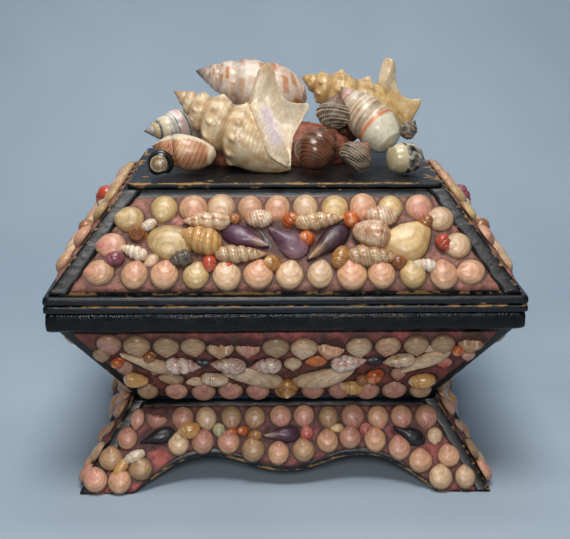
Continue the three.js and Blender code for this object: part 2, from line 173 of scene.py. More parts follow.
def shell_material(name, gloss, ring_depth, ring_shade):
    """Shell: its own tint, growth lines from the growth attribute, and a fine mottle."""
    nodes = Nodes(name)
    ring = nodes.math("SINE", nodes.math("MULTIPLY", nodes.attribute("growth"), TAU))
    mottle = nodes.noise(420.0, 4.0)
    fine = nodes.noise(1900.0, 2.0)
    shade = nodes.remap(mottle, 0.3, 0.7, 0.0, 0.38)
    colour = nodes.blend(nodes.attribute("tint", "Color"), "#a9785a", shade, "MULTIPLY")
    lines = nodes.remap(ring, 0.3, 1.0, 0.0, ring_shade)
    colour = nodes.blend(colour, "#9a6e4a", lines, "MULTIPLY")
    height = nodes.math("ADD", nodes.math("MULTIPLY", ring, ring_depth), nodes.math("MULTIPLY", fine, 0.35))
    roughness = nodes.remap(mottle, 0.25, 0.75, gloss - 0.07, gloss + 0.1)
    return nodes.finish(colour, roughness, height, 0.09, coat_weight=0.2, coat_roughness=0.2)


def paper_material(name, ground, sheen, gloss, wrinkle):
    """Lacquered black paper, wrinkled, and rubbed to ochre pasteboard where the wear attribute says."""
    nodes = Nodes(name)
    broad = nodes.noise(60.0, 3.0)
    crease = nodes.noise(210.0, 5.0, 0.62, (1.0, 1.0, 2.2))
    grain = nodes.noise(2400.0, 2.0)
    colour = nodes.blend(ground, sheen, nodes.remap(broad, 0.35, 0.7, 0.0, 1.0))
    worn = nodes.math("ADD", nodes.attribute("wear"), nodes.remap(crease, 0.3, 0.7, -0.45, 0.45))
    bare = nodes.blend("#7a5a35", "#b08a55", nodes.remap(grain, 0.35, 0.65, 0.0, 1.0))
    colour = nodes.blend(colour, bare, nodes.remap(worn, 0.62, 0.8, 0.0, 1.0))
    roughness = nodes.math(
        "ADD", nodes.remap(broad, 0.3, 0.7, gloss - 0.06, gloss + 0.1),
        nodes.remap(worn, 0.6, 0.8, 0.0, 0.35))
    height = nodes.math("ADD", nodes.math("MULTIPLY", crease, wrinkle), nodes.math("MULTIPLY", grain, 0.12))
    return nodes.finish(colour, roughness, height, 0.35, specular_ior_level=0.42, coat_weight=0.1,
                        coat_roughness=0.25)


def oilcloth_material():
    """Black oilcloth: a fine pebbled grain under a high gloss."""
    nodes = Nodes("oilcloth")
    cells = nodes.add("ShaderNodeTexVoronoi")
    cells.inputs["Scale"].default_value = 1150.0
    nodes.join(nodes.place, cells.inputs["Vector"])
    pebble = cells.outputs["Distance"]
    ripple = nodes.noise(130.0, 3.0, 0.5, (1.0, 1.0, 2.0))
    colour = nodes.blend("#040506", "#0b0d10", nodes.remap(ripple, 0.3, 0.7, 0.0, 1.0))
    worn = nodes.remap(nodes.math("ADD", nodes.attribute("wear"), nodes.remap(ripple, 0.3, 0.7, -0.4, 0.4)),
                       0.65, 0.85, 0.0, 1.0)
    colour = nodes.blend(colour, "#5d4a33", worn)
    roughness = nodes.remap(ripple, 0.3, 0.7, 0.2, 0.36)
    height = nodes.math("ADD", nodes.math("MULTIPLY", pebble, 0.5), nodes.math("MULTIPLY", ripple, 1.6))
    return nodes.finish(colour, roughness, height, 0.3, specular_ior_level=0.32)


def putty_material():
    """Dull red putty, its roughness varying in fine flecks."""
    nodes = Nodes("putty")
    lumps = nodes.noise(330.0, 5.0, 0.65)
    fine = nodes.noise(1500.0, 3.0)
    colour = nodes.blend(nodes.attribute("tint", "Color"), "#5e2c2a",
                         nodes.remap(lumps, 0.35, 0.7, 0.0, 0.75),
                         "MULTIPLY")
    roughness = nodes.remap(fine, 0.3, 0.7, 0.42, 0.75)
    height = nodes.math("ADD", lumps, nodes.math("MULTIPLY", fine, 0.3))
    return nodes.finish(colour, roughness, height, 0.6)


def backdrop_material():
    nodes = Nodes("backdrop_cloth")
    cloud = nodes.noise(5.0, 2.0)
    weave = nodes.noise(700.0, 2.0)
    colour = nodes.blend("#98a9b9", "#a3b3c1", nodes.remap(cloud, 0.35, 0.65, 0.0, 1.0))
    roughness = nodes.remap(weave, 0.3, 0.7, 0.75, 0.95)
    return nodes.finish(colour, roughness, weave, 0.1)


MATERIALS = {
    "small_shell": shell_material("small_shell", 0.42, 0.34, 0.26),
    "spiral_shell": shell_material("spiral_shell", 0.26, 0.0, 0.0),
    "large_shell": shell_material("large_shell", 0.34, 0.12, 0.06),
    "polished_shell": shell_material("polished_shell", 0.24, 0.08, 0.04),
    "paper": paper_material("black_paper", "#08090c", "#13171d", 0.36, 0.8),
    "paper_dull": paper_material("black_paper_dull", "#0c0c0d", "#15171a", 0.48, 0.9),
    "oilcloth": oilcloth_material(),
    "putty": putty_material(),
}

# ---- Meshes ----


def wrapped(count):
    around = np.arange(count)
    return around, (around + 1) % count


def cap_faces(rings, sides):
    """A skin that fans out from one point through its rings, closed under the last one."""
    here, following = wrapped(sides)
    faces = [(0, 1 + a, 1 + b) for a, b in zip(here, following)]
    for ring in range(rings - 1):
        inner = 1 + ring * sides
        outer = inner + sides
        faces += [(inner + a, outer + a, outer + b, inner + b) for a, b in zip(here, following)]
    last = 1 + (rings - 1) * sides
    return faces + [tuple(last + here[::-1])]


def barrel_faces(rings, sides):
    """A skin of rings between two end points, the first and the last."""
    here, following = wrapped(sides)
    faces = [(0, 1 + b, 1 + a) for a, b in zip(here, following)]
    for ring in range(rings - 1):
        first = 1 + ring * sides
        second = first + sides
        faces += [(first + a, first + b, second + b, second + a) for a, b in zip(here, following)]
    last = 1 + (rings - 1) * sides
    return faces + [(last + sides, last + a, last + b) for a, b in zip(here, following)]


def tube_faces(columns, loop, closed):
    """Columns of a closed section.

    A closed tube joins its last column to its first, and an open one has flat ends.
    """
    here, following = wrapped(loop)
    faces = []
    for column in range(columns if closed else columns - 1):
        first = column * loop
        second = (column + 1) % columns * loop
        faces += [(first + a, second + a, second + b, first + b) for a, b in zip(here, following)]
    if not closed:
        faces += [tuple(here), tuple((columns - 1) * loop + here[::-1])]
    return faces


FACES = {}


def faces_of(kind, *sizes):
    if (kind, sizes) not in FACES:
        FACES[kind, sizes] = kind(*sizes)
    return FACES[kind, sizes]


class Skin:
    """Gathers closed skins into one mesh. Every point has a tint, a growth value and a wear value."""

    ground = -math.inf  # no point goes lower than this, in metres

    def __init__(self):
        self.points, self.faces, self.tints, self.growths, self.wears = [], [], [], [], []
        self.count = 0

    def add(self, points, faces, tint=(0.0, 0.0, 0.0), growth=0.0, wear=0.0):
        size = len(points)
        self.points.append(points)
        self.faces += [tuple(int(i) + self.count for i in face) for face in faces]
        self.tints.append(np.broadcast_to(tint, (size, 3)))
        self.growths.append(np.broadcast_to(growth, size))
        self.wears.append(np.broadcast_to(wear, size))
        self.count += size

    def build(self, name, material):
        mesh = bpy.data.meshes.new(name)
        points = np.maximum(np.concatenate(self.points) * MM, (-np.inf, -np.inf, self.ground))
        mesh.from_pydata(points.tolist(), [], self.faces)
        write_attribute(mesh, "tint", np.concatenate(self.tints))
        write_attribute(mesh, "growth", np.concatenate(self.growths))
        write_attribute(mesh, "wear", np.concatenate(self.wears))
        mesh.shade_smooth()
        mesh.materials.append(MATERIALS[material])
        piece = bpy.data.objects.new(name, mesh)
        bpy.context.scene.collection.objects.link(piece)
        return piece


def write_attribute(mesh, name, values):
    if values.ndim == 2:
        layer = mesh.attributes.new(name, "FLOAT_COLOR", "POINT")
        layer.data.foreach_set("color", np.column_stack([values, np.ones(len(values))]).ravel())
    else:
        layer = mesh.attributes.new(name, "FLOAT", "POINT")
        layer.data.foreach_set("value", values.astype(np.float32))


def dress(piece, slot, *nodes):
    """The piece rides on the casket and stands for the CAD nodes, which it hides. The slot is not used."""
    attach(piece, "root")
    if nodes:
        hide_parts(*nodes)
    return piece


# ---- The sloping sides ----


def node_points(node):
    return np.array([v.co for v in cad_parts[node].data.vertices]) / MM


class Slope:
    """The outer face of a tier's board: u runs along it, v up it from its lower edge, and n stands off it."""

    def __init__(self, tier, side):
        angle = math.radians(TURNS[side])
        turn = np.array([[math.cos(angle), -math.sin(angle), 0.0], [math.sin(angle), math.cos(angle), 0.0],
                         [0.0, 0.0, 1.0]])
        points = node_points(f"{tier}_{side}") @ turn
        edges = []
        for height in (points[:, 2].min(), points[:, 2].max()):
            level = points[abs(points[:, 2] - height) < 0.05]
            edges.append(np.array([0.0, level[:, 1].min(), height]))
        self.side = side
        self.tier = tier
        self.long = side in LONG_SIDES
        self.short = 0.0 if self.long else PLAN_DIFFERENCE
        self.wide = PLAN_DIFFERENCE if self.long else -PLAN_DIFFERENCE
        self.height = float(np.linalg.norm(edges[1] - edges[0]))
        self.foot = edges[0]
        self.rise = (edges[1] - edges[0]) / self.height
        self.frame = turn @ np.array([[1.0, 0.0, 0.0], self.rise, [0.0, -self.rise[2], self.rise[1]]]).T
        self.origin = turn @ self.foot

    def half(self, v):
        """Half the face's width at v."""
        return -self.foot[1] - v * self.rise[1] + self.wide

    def place(self, u, v, n):
        local = np.column_stack([np.ravel(part) for part in np.broadcast_arrays(u, v, n)])
        return self.origin + local @ self.frame.T


SLOPES = {
    (tier, side): Slope(tier, side)
    for tier in ("stand_board", "box_wall", "lid_board")
    for side in TURNS
}


def scallop(slope, u, lift):
    """The scalloped lower edge of the stand, from foot to arch to lobe, raised by lift."""
    foot = SCALLOP["foot"] - slope.short
    arch = SCALLOP["arch"] - slope.short / 2.0
    rise = foot - arch
    foot_v = 0.3 * lift
    arch_v = SCALLOP["arch_height"] + lift
    lobe_v = SCALLOP["lobe_height"] + 0.7 * lift
    curves = [
        [(foot, foot_v), (foot - 0.3 * rise, arch_v / 2.0), (foot - 0.6 * rise, arch_v), (arch, arch_v)],
        [(arch, arch_v), (0.6 * arch, arch_v), (0.4 * arch, lobe_v), (0.0, lobe_v)],
    ]
    share = np.linspace(0.0, 1.0, 40)[:, None]
    weights = np.hstack([
        (1 - share) ** 3, 3 * share * (1 - share) ** 2, 3 * share**2 * (1 - share), share**3,
    ])
    path = np.concatenate([weights @ np.array(curve) for curve in curves])
    return np.interp(np.abs(u), path[::-1, 0], path[::-1, 1])


def lower_edge(slope, u, low, lift):
    """The lowest v at u: straight, or scalloped between the feet of the stand."""
    straight = np.full_like(u, low)
    if slope.tier != "stand_board":
        return straight
    inside = np.abs(u) < SCALLOP["foot"] - slope.short
    return np.where(inside, np.maximum(scallop(slope, u, lift), low), straight)


# ---- Boards covered in black paper ----


def papered_board(slope):
    """A board with mitred ends. Its section runs up the outer face and down the inner one."""
    columns = 96 if slope.long else 64
    rows = 14
    across = np.linspace(-1.0, 1.0, columns)
    outer = [(share, 0.0) for share in np.linspace(0.0, 1.0, rows)]
    inner = [(share, 1.0) for share in (1.0, 0.5, 0.0)]
    depth = BOARD * slope.rise[2]
    sections = []
    wears = []
    for share, deep in outer + inner:
        low_u = across * (slope.half(0.0) - 0.25 - deep * depth)
        high_u = across * (slope.half(slope.height) - 0.25 - deep * depth)
        low_v = lower_edge(slope, low_u, 0.0, 0.0)
        u = low_u + (high_u - low_u) * share
        v = low_v + (slope.height - low_v) * share
        n = np.full(columns, -deep * BOARD)
        if not deep:
            n = n - 0.12 + 0.12 * wander(np.column_stack([u, v]), 9.0, 3) - 0.3 * (share in (0.0, 1.0))
        sections.append(slope.place(u, v, n))
        edge = 0.72 if share == 0.0 and not deep else 0.12
        wears.append(edge + 0.25 * wander(np.column_stack([u, v]), 30.0, 11))
    node = f"{slope.tier}_{slope.side}"
    points = np.stack(sections, 1).reshape(-1, 3)
    lowest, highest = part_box(node)
    points[:, 2] = np.clip(points[:, 2], lowest.z / MM, highest.z / MM)
    wear = np.stack(wears, 1).ravel()
    skin = Skin()
    skin.add(points, faces_of(tube_faces, columns, rows + 3, False), wear=wear)
    return dress(skin.build(f"papered_{node}", "paper"), "black_paper", node)


def corner_papers(tier, width, lift):
    """Strips of paper folded over the four corners of a tier, rubbed through along the fold."""
    skin = Skin()
    rows = 44
    sides = list(TURNS)
    for index, side in enumerate(sides):
        first = SLOPES[tier, side]
        second = SLOPES[tier, sides[(index + 1) % 4]]
        v = np.linspace(0.3, first.height - 0.3, rows)
        along = np.column_stack([v, np.full(rows, 40.0 * index)])
        first_width = width * (1.0 + 0.07 * wander(along, 8.0, 20 + index))
        second_width = width * (1.0 + 0.07 * wander(along, 8.0, 30 + index))
        sections = []
        wears = []

        def section(share, n, wear, slope, strip, sign):
            ripple = 0.1 * wander(along + share, 5.0, 40 + index)
            sections.append(slope.place(sign * (slope.half(v) - share * strip), v, n + ripple * (n > 0.0)))
            wears.append(np.full(rows, wear))

        for share, n, wear in ((1.0, -0.3, 0.1), (1.0, 0.25, 0.4), (0.66, lift, 0.1), (0.3, lift, 0.15)):
            section(share, n, wear, first, first_width, 1.0)
        section(0.09, lift, 0.45, first, first_width, 1.0)
        fold = 0.5 * (first.place(first.half(v), v, lift) + second.place(-second.half(v), v, lift))
        sections.append(fold)
        wears.append(0.6 + 0.3 * wander(along, 14.0, 50 + index))
        section(0.09, lift, 0.45, second, second_width, -1.0)
        for share, n, wear in ((0.3, lift, 0.15), (0.66, lift, 0.1), (1.0, 0.25, 0.4), (1.0, -0.3, 0.1)):
            section(share, n, wear, second, second_width, -1.0)
        sections.append(0.5 * (first.place(first.half(v), v, -0.8) + second.place(-second.half(v), v, -0.8)))
        wears.append(np.zeros(rows))
        points = np.stack(sections, 1).reshape(-1, 3)
        points[:, 2] = np.maximum(points[:, 2], 0.0)
        skin.add(points, faces_of(tube_faces, rows, len(sections), False), wear=np.stack(wears, 1).ravel())
    return dress(skin.build(f"{tier}_corner_papers", "paper"), "black_paper")


def plan(x, corner, spacing=3.0):
    """Points round a rectangle that reaches x, and PLAN_DIFFERENCE less in depth, with rounded corners."""
    y = x - PLAN_DIFFERENCE
    counts = (int(2 * x / spacing), int(2 * y / spacing))
    shares = [np.linspace(-1.0, 1.0, count, endpoint=False) for count in counts]
    x_parts = np.concatenate([shares[0], np.ones(counts[1]), -shares[0], -np.ones(counts[1])])
    y_parts = np.concatenate([-np.ones(counts[0]), shares[1], np.ones(counts[0]), -shares[1]])

    def at(reach):
        places = np.column_stack([x_parts * reach, y_parts * (reach - PLAN_DIFFERENCE)])
        centre = np.array([reach - corner, reach - PLAN_DIFFERENCE - corner])
        beyond = np.abs(places) - centre
        near = (beyond > 0.0).all(1)
        length = np.linalg.norm(beyond[near], axis=1, keepdims=True)
        places[near] = np.sign(places[near]) * (centre + beyond[near] / length * corner)
        return places

    return at


def moulding(name, material, slot, section, nodes, corner=1.2, waver=0.12, drop=None):
    """A moulding round the casket. Its section is a closed list of (reach, height, wear)."""
    at = plan(max(reach for reach, _, _ in section), corner)
    rings = []
    wears = []
    for reach, height, wear in section:
        places = at(reach)
        ripple = waver * wander(np.column_stack([places, np.full(len(places), 7.0 * height)]), 22.0, 5)
        length = np.linalg.norm(places, axis=1, keepdims=True)
        inward = places * (1.0 - (waver + ripple)[:, None] / length)
        level = np.full(len(places), height) + ripple * 0.5
        if drop:
            level = level + drop(places, height)
        rings.append(np.column_stack([inward, level]))
        wears.append(wear + 0.28 * wander(places, 26.0, 6) * (wear > 0.0))
    skin = Skin()
    points = np.stack(rings, 1).reshape(-1, 3)
    skin.add(points, faces_of(tube_faces, len(rings[0]), len(rings), True), wear=np.stack(wears, 1).ravel())
    return dress(skin.build(name, material), slot, *nodes)


def rounded_section(inner, outer, low, high, radius, wears):
    """A bar's section with rounded outer corners. wears are for its low edge, face and high edge."""
    low_wear, face_wear, high_wear = wears
    slant = radius * 0.3
    middle = 0.5 * (low + high)
    return [
        (inner, high, 0.0), (inner, low, 0.0), (outer - radius, low, low_wear * 0.6),
        (outer - slant, low + slant, low_wear), (outer, low + radius, face_wear), (outer, middle, face_wear),
        (outer, high - radius, face_wear), (outer - slant, high - slant, high_wear),
        (outer - radius, high, high_wear), (outer - 2.6 * radius, high, high_wear * 0.5),
    ]


def all_sides(tier):
    return [f"{tier}_{side}" for side in TURNS]


def band_of(node):
    """The reach and the heights of a node, in millimetres."""
    low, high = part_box(node)
    return high.x / MM, low.z / MM, high.z / MM


for slope in SLOPES.values():
    papered_board(slope)
corner_papers("stand_board", 8.0, 0.7)
corner_papers("box_wall", 6.5, 0.5)
corner_papers("lid_board", 9.6, 0.8)

reach, low, high = band_of("lid_rim_right")
moulding("lid_rim_binding", "paper", "black_paper",
         rounded_section(117.0, reach, low, high, 1.5, (0.5, 0.12, 0.16)), all_sides("lid_rim"))
reach, low, high = band_of("box_rim_right")
_, _, band_high = band_of("oilcloth_band")
lip = rounded_section(117.0, reach, band_high + 0.3, high, 1.0, (0.1, 0.1, 0.72))
lip[1:2] = [(117.0, low, 0.0), (122.6, low, 0.0), (122.6, band_high + 0.3, 0.0)]
moulding("box_rim_binding", "paper", "black_paper", lip, all_sides("box_rim"))

reach, low, high = band_of("oilcloth_band")


def band_drop(places, height):
    """The band hangs lower at the left than at the right, with a slight wave."""
    hang = (high - height) / (high - low)
    left = -places[:, 0] / reach
    return hang * (-0.35 - 0.7 * left + 0.5 * wander(places, 60.0, 9))


BAND_FACE = [(0.0, 0.1, 0.15), (0.35, 0.25, 0.25), (0.45, 0.5, 0.1), (0.3, 0.75, 0.05), (0.1, 0.95, 0.1),
             (-0.3, 1.0, 0.1)]
band_section = [(reach - 1.2, high, 0.0), (reach - 1.2, low, 0.0)]
band_section += [(reach + out, low + share * (high - low), wear) for out, share, wear in BAND_FACE]
moulding("glossy_band", "oilcloth", "oilcloth", band_section, ["oilcloth_band"], 1.6, 0.2, band_drop)


def top_board():
    """The flat board on the lid, rubbed along its upper edges."""
    reach, low, high = band_of("lid_top_board")
    section = rounded_section(40.0, reach, low, high, 0.7, (0.5, 0.35, 0.78))
    at = plan(reach, 1.0)
    rings = []
    wears = []
    for inset, height, wear in section[1:] + [(70.0, high, 0.1), (60.0, high, 0.1), (40.0, high, 0.0)]:
        places = at(inset)
        level = np.column_stack([places, np.full(len(places), height - 0.1)])
        level[:, 2] += 0.1 * wander(places, 12.0, 8)
        rings.append(level)
        wears.append(wear + 0.3 * wander(places, 24.0, 15) * (wear > 0.0))
    count = len(rings[0])
    points = np.concatenate(rings)
    here, following = wrapped(count)
    faces = [tuple(here[::-1])]
    for ring in range(len(rings) - 1):
        first, second = ring * count, (ring + 1) * count
        faces += [(first + a, first + b, second + b, second + a) for a, b in zip(here, following)]
    faces.append(tuple((len(rings) - 1) * count + here))
    skin = Skin()
    skin.add(points, faces, wear=np.concatenate(wears))
    return dress(skin.build("top_board_papered", "paper_dull"), "black_paper", "lid_top_board")


top_board()
floor_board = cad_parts["box_floor"]
floor_board.data.materials.clear()
floor_board.data.materials.append(MATERIALS["paper_dull"])

# ---- Shell forms ----
# A valve's hinge end points to -x. A snail lies along x with its apex at -x. Both stand on z = 0.


def valve(shape, rings, sides, seed):
    """Half of a bivalve, with the share of the way from its hinge to its edge."""
    taper, bend, beak = shape.get("taper", 0.0), shape.get("bend", 0.0), shape.get("beak", 0.0)
    angle = np.arange(sides) * TAU / sides

    def outline(angle):
        """How far the edge swells beyond an ellipse, and how much it narrows."""
        swell = 1.0 + shape.get("corners", 0.0) * np.cos(3.0 * angle)
        swell = swell + beak * np.exp(-(((np.abs(angle) - math.pi) / 0.36) ** 2))
        return swell, 1.0 - taper * ((1.0 - np.cos(angle)) / 2.0) ** 1.3

    swell, narrow = outline((angle + math.pi) % TAU - math.pi)
    edge = np.column_stack([np.cos(angle) * swell, np.sin(angle) * swell * narrow])
    hinge = np.array([shape.get("hinge", -0.8), 0.0])
    share = np.linspace(0.0, 1.0, rings + 1)[1:] ** 0.85
    flat = (hinge + share[:, None, None] * (edge - hinge)).reshape(-1, 2)
    flat = np.vstack([hinge, flat])
    shares = np.concatenate([[0.0], np.repeat(share, sides)])
    around = np.arctan2(flat[:, 1] / (1.0 - taper * np.clip(-flat[:, 0], 0.0, 1.0) ** 1.3), flat[:, 0])
    swell, narrow = outline(around)
    out = np.clip(np.hypot(flat[:, 0], flat[:, 1] / narrow) / swell, 0.0, 1.0)
    out[-sides:] = 1.0
    rise = (1.0 - out**2.5) ** 0.6
    rise = rise + 0.16 * np.exp(-(((flat - hinge) ** 2).sum(1)) / 0.03) * (1.0 - shares**4)
    flat[:, 1] += bend * (flat[:, 0] ** 2 - 0.5)
    points = np.column_stack([flat * [shape["length"] / 2.0, shape["width"] / 2.0], rise * shape["height"]])
    if "broken" in shape:
        heading, offset = shape["broken"]
        across = points[:, 0] * math.cos(heading) + points[:, 1] * math.sin(heading)
        ragged = offset + 0.8 * wander(points[:, :2], 4.0, seed)
        lost = soft_step(-0.25, 0.25, across - ragged)
        points[:, 2] = points[:, 2] * (1.0 - lost) - 0.6 * lost
    return points, shares


def snail(shape, rings, sides):
    """A spiral shell along x from its apex at 0, with where each point lies on its whorl, for painting."""
    length, width = shape["length"], shape["width"]
    spire, belly, mouth = shape.get("spire", 0.5), shape.get("belly", 0.65), shape.get("mouth", 0.3)
    whorls, seam_depth = shape.get("whorls", 4), shape.get("seam", 0.14)
    axial = np.linspace(0.0, 1.0, rings + 2)[1:-1] ** shape.get("crowding", 1.15)
    along, angle = np.meshgrid(axial, np.arange(sides) * TAU / sides, indexing="ij")
    angle = (angle - shape.get("face", 0.0)) % TAU
    swell = np.sin(0.25 * TAU * np.clip(along / belly, 0.0, 1.0) ** shape.get("taper", 0.95))
    past = np.clip((along - belly) / (1.0 - belly), 0.0, 1.0)
    swell = np.where(along > belly, mouth + (1.0 - mouth) * np.cos(0.25 * TAU * past**1.3), swell)
    swell = swell * np.minimum(1.0, (1.0 - along) / 0.05) ** 0.5
    ratio = shape.get("tip", 0.1) ** (-1.0 / whorls)
    seam = spire * ratio ** (angle / TAU)
    above = along < seam
    turns = np.log(along / spire) / math.log(ratio) - angle / TAU
    below = (along - seam) / (seam * (1.0 - 1.0 / ratio))
    within = np.where(above, turns % 1.0, np.clip(below, 0.0, None))
    bulge = np.sin(0.5 * TAU * np.where(above, within, np.minimum(within, 0.5))) ** 0.6
    radius = swell * (1.0 - seam_depth * (1.0 - bulge))
    lump = np.maximum(np.cos(shape.get("ribs", 0) * angle), -0.4)
    if "rib_depth" in shape:
        fade = np.clip(1.6 - within, 0.25, 1.0)
        radius = radius * (1.0 + shape["rib_depth"] * lump * bulge * fade)
    relief = np.cos(TAU * shape.get("cords", 0) * within)
    if "beads" in shape:
        relief = relief * (0.5 + 0.5 * np.cos(shape["beads"] * angle))
    radius = radius * (1.0 + shape.get("cord_depth", 0.0) * np.maximum(relief, -0.3))
    if "knob" in shape:
        bump = np.exp(-(((within - 0.42) / 0.2) ** 2)) * np.clip(np.cos(shape["knobs"] * angle), 0.0, 1.0)
        radius = radius * (1.0 + shape["knob"] * bump**1.5)
    flare = shape.get("flare", 0.12)
    radius = radius * np.where(above, 1.0, 1.0 + flare * (angle / TAU - 0.5))
    reach = np.clip((along - seam) / (0.97 - seam), 0.0, 1.0)
    hollow = np.exp(-(((angle - 0.5) / 0.42) ** 2)) * np.sin(0.5 * TAU * reach) * ~above
    radius = radius * (1.0 - shape.get("hollow", 0.25) * hollow) * width / 2.0
    turned = angle + shape.get("face", 0.0)
    points = np.stack([along * length, radius * np.cos(turned), radius * np.sin(turned)], -1).reshape(-1, 3)
    points = np.vstack([[0.0, 0.0, 0.0], points, [length, 0.0, 0.0]])

    def padded(values, first, last):
        return np.concatenate([[first], values.ravel(), [last]])

    whorl = {
        "along": padded(along, 0.0, 1.0), "angle": padded(angle, 0.0, 0.0),
        "within": padded(within, 0.5, 1.5),
        "above": padded(above.astype(float), 1.0, 0.0), "hollow": padded(hollow, 0.0, 0.0),
        "bulge": padded(bulge, 1.0, 1.0), "relief": padded(relief, 0.0, 0.0),
        "turned": padded(turned % TAU, 0.0, 0.0),
    }
    return points, whorl


def bands(whorl, count, width, phase=0.0):
    """Spiral bands: 1 inside a band and 0 between, count to a whorl."""
    place = (whorl["within"] * count + phase) % 1.0
    return (soft_step(0.5 - width, 0.5 - width * 0.6, place)
            * (1.0 - soft_step(0.5 + width * 0.6, 0.5 + width, place)))


def flames(whorl, count, width, sway):
    """Marks that run down each whorl, with a sway."""
    place = (whorl["angle"] * count / TAU + sway * np.sin(TAU * whorl["within"] * 0.8)) % 1.0
    return (soft_step(0.5 - width, 0.5 - width * 0.4, place)
            * (1.0 - soft_step(0.5 + width * 0.4, 0.5 + width, place)))


def blotches(whorl, count, rows):
    wave = np.cos(whorl["angle"] * count + 2.4 * np.floor(whorl["within"] * rows)) + 0.25
    rungs = np.cos(TAU * (whorl["within"] * rows - 0.5))
    return soft_step(0.0, 0.3, wave) * soft_step(-0.55, 0.1, rungs)


PATTERNS = {
    "plain": lambda whorl: np.zeros_like(whorl["along"]),
    "banded": lambda whorl: bands(whorl, 2, 0.24),
    "ringed": lambda whorl: bands(whorl, 4, 0.22),
    "lined": lambda whorl: bands(whorl, 3, 0.09, 0.2),
    "flamed": lambda whorl: flames(whorl, 7, 0.24, 0.12),
    "slanted": lambda whorl: flames(whorl, 11, 0.3, 0.5),
    "blotched": lambda whorl: blotches(whorl, 5, 3),
    "checked": lambda whorl: blotches(whorl, 12, 5),
    "speckled": lambda whorl: blotches(whorl, 17, 9),
    "zebra": lambda whorl: flames(whorl, 8, 0.2, 0.22),
    "beaded": lambda whorl: soft_step(0.05, 0.55, whorl["relief"]),
    "sparse": lambda whorl: bands(whorl, 2, 0.07, 0.1),
}


def paint_snail(whorl, points, look, seed):
    """A ground with a pattern of marks, a tip and a mouth of their own, and a seam in shade."""
    ground, mark, tip, mouth = (srgb(code) for code in look["colours"])
    cloud = wander(points, look.get("cloud", 5.0), seed)
    marks = PATTERNS[look["pattern"]](whorl) * (0.75 + 0.35 * cloud)
    tint = mixed(ground, mark, marks * look.get("strength", 0.85))
    tint = mixed(tint, mark, 0.22 + 0.22 * cloud)
    tint = mixed(tint, tip, np.exp(-((whorl["along"] / look.get("tip_length", 0.09)) ** 1.5)))
    tint = mixed(tint, mouth, soft_step(0.12, 0.5, whorl["hollow"]))
    place = whorl["along"] - 0.1 * (whorl["angle"] / TAU - 0.5)
    for start, end, code in look.get("girdles", ()):
        inside = (soft_step(start - 0.02, start + 0.02, place)
                  * (1.0 - soft_step(end - 0.02, end + 0.02, place)))
        tint = mixed(tint, srgb(code), inside)
    for heading, spread, code in look.get("stripes", ()):
        apart = np.abs((whorl["turned"] - heading + 0.5 * TAU) % TAU - 0.5 * TAU)
        tint = mixed(tint, srgb(code), 1.0 - soft_step(0.7 * spread, spread, apart + 0.15 * cloud))
    tint = tint * (1.0 - 0.45 * (1.0 - whorl["bulge"]) ** 2)[:, None]
    return tint


# ---- Looks of the small shells ----
VALVES = {  # hinge, middle and edge
    "peach": ("#d59a80", "#d8a684", "#cfa681"), "cream": ("#d9b795", "#dcbf9c", "#c9a882"),
    "pink": ("#d08c7c", "#d89f89", "#d0a584"), "yellow": ("#dcc596", "#d8be8a", "#bfa06c"),
    "rose": ("#bd7d70", "#c6907c", "#b98f72"), "tan": ("#b98c68", "#c19c76", "#a98a68"),
    "purple": ("#7c6370", "#5a3a4e", "#8a6a72"), "plum": ("#cbb0a0", "#5c3550", "#45263c"),
    "aubergine": ("#c9a578", "#4a3038", "#3a2230"), "black": ("#26222a", "#15151b", "#1d1c24"),
    "green": ("#b9b78a", "#a8ad86", "#c3b98c"), "red": ("#b2453c", "#c4605a", "#d08a78"),
    "grey": ("#8d8a86", "#55504e", "#6b6662"), "amber": ("#b85f24", "#d27a35", "#c96e30"),
}
SNAILS = {  # ground, mark, tip and mouth, and the pattern
    "mitre": (("#e6d3b2", "#a9683c", "#c98f66", "#f0e6d6"), "flamed"),
    "olive": (("#e9ddc4", "#b4713c", "#c9824a", "#f2e8da"), "banded"),
    "honey": (("#dcb676", "#b4722f", "#efe2c4", "#f0e2c8"), "banded"),
    "turret": (("#dcc49c", "#9a6236", "#b98a58", "#efe3cf"), "ringed"),
    "white": (("#efe6d4", "#cfa06a", "#9aa3a6", "#f5efe4"), "lined"),
    "brown": (("#b47a4a", "#7b4526", "#8f5a36", "#d9b48c"), "ringed"),
    "cone": (("#a9683c", "#ead9ba", "#b98358", "#e6cdb0"), "slanted"),
    "orange": (("#d0703a", "#a8431f", "#e0a070", "#efc7a0"), "lined"),
    "coral": (("#c85a42", "#9c3527", "#d98a70", "#e8b39c"), "lined"),
    "violet": (("#a06068", "#6c3444", "#c79a94", "#d9b5ae"), "banded"),
    "almond": (("#b5864e", "#7c4f28", "#8f6236", "#e6cfa6"), "plain"),
    "beaded": (("#7c7468", "#2f2a28", "#5b4a42", "#b5a890"), "checked"),
    "candy": (("#efe4d2", "#a5452c", "#c27a5c", "#f2e6da"), "slanted"),
    "gold": (("#c08a4a", "#6d3f1c", "#e6c088", "#e2c08c"), "lined"),
}
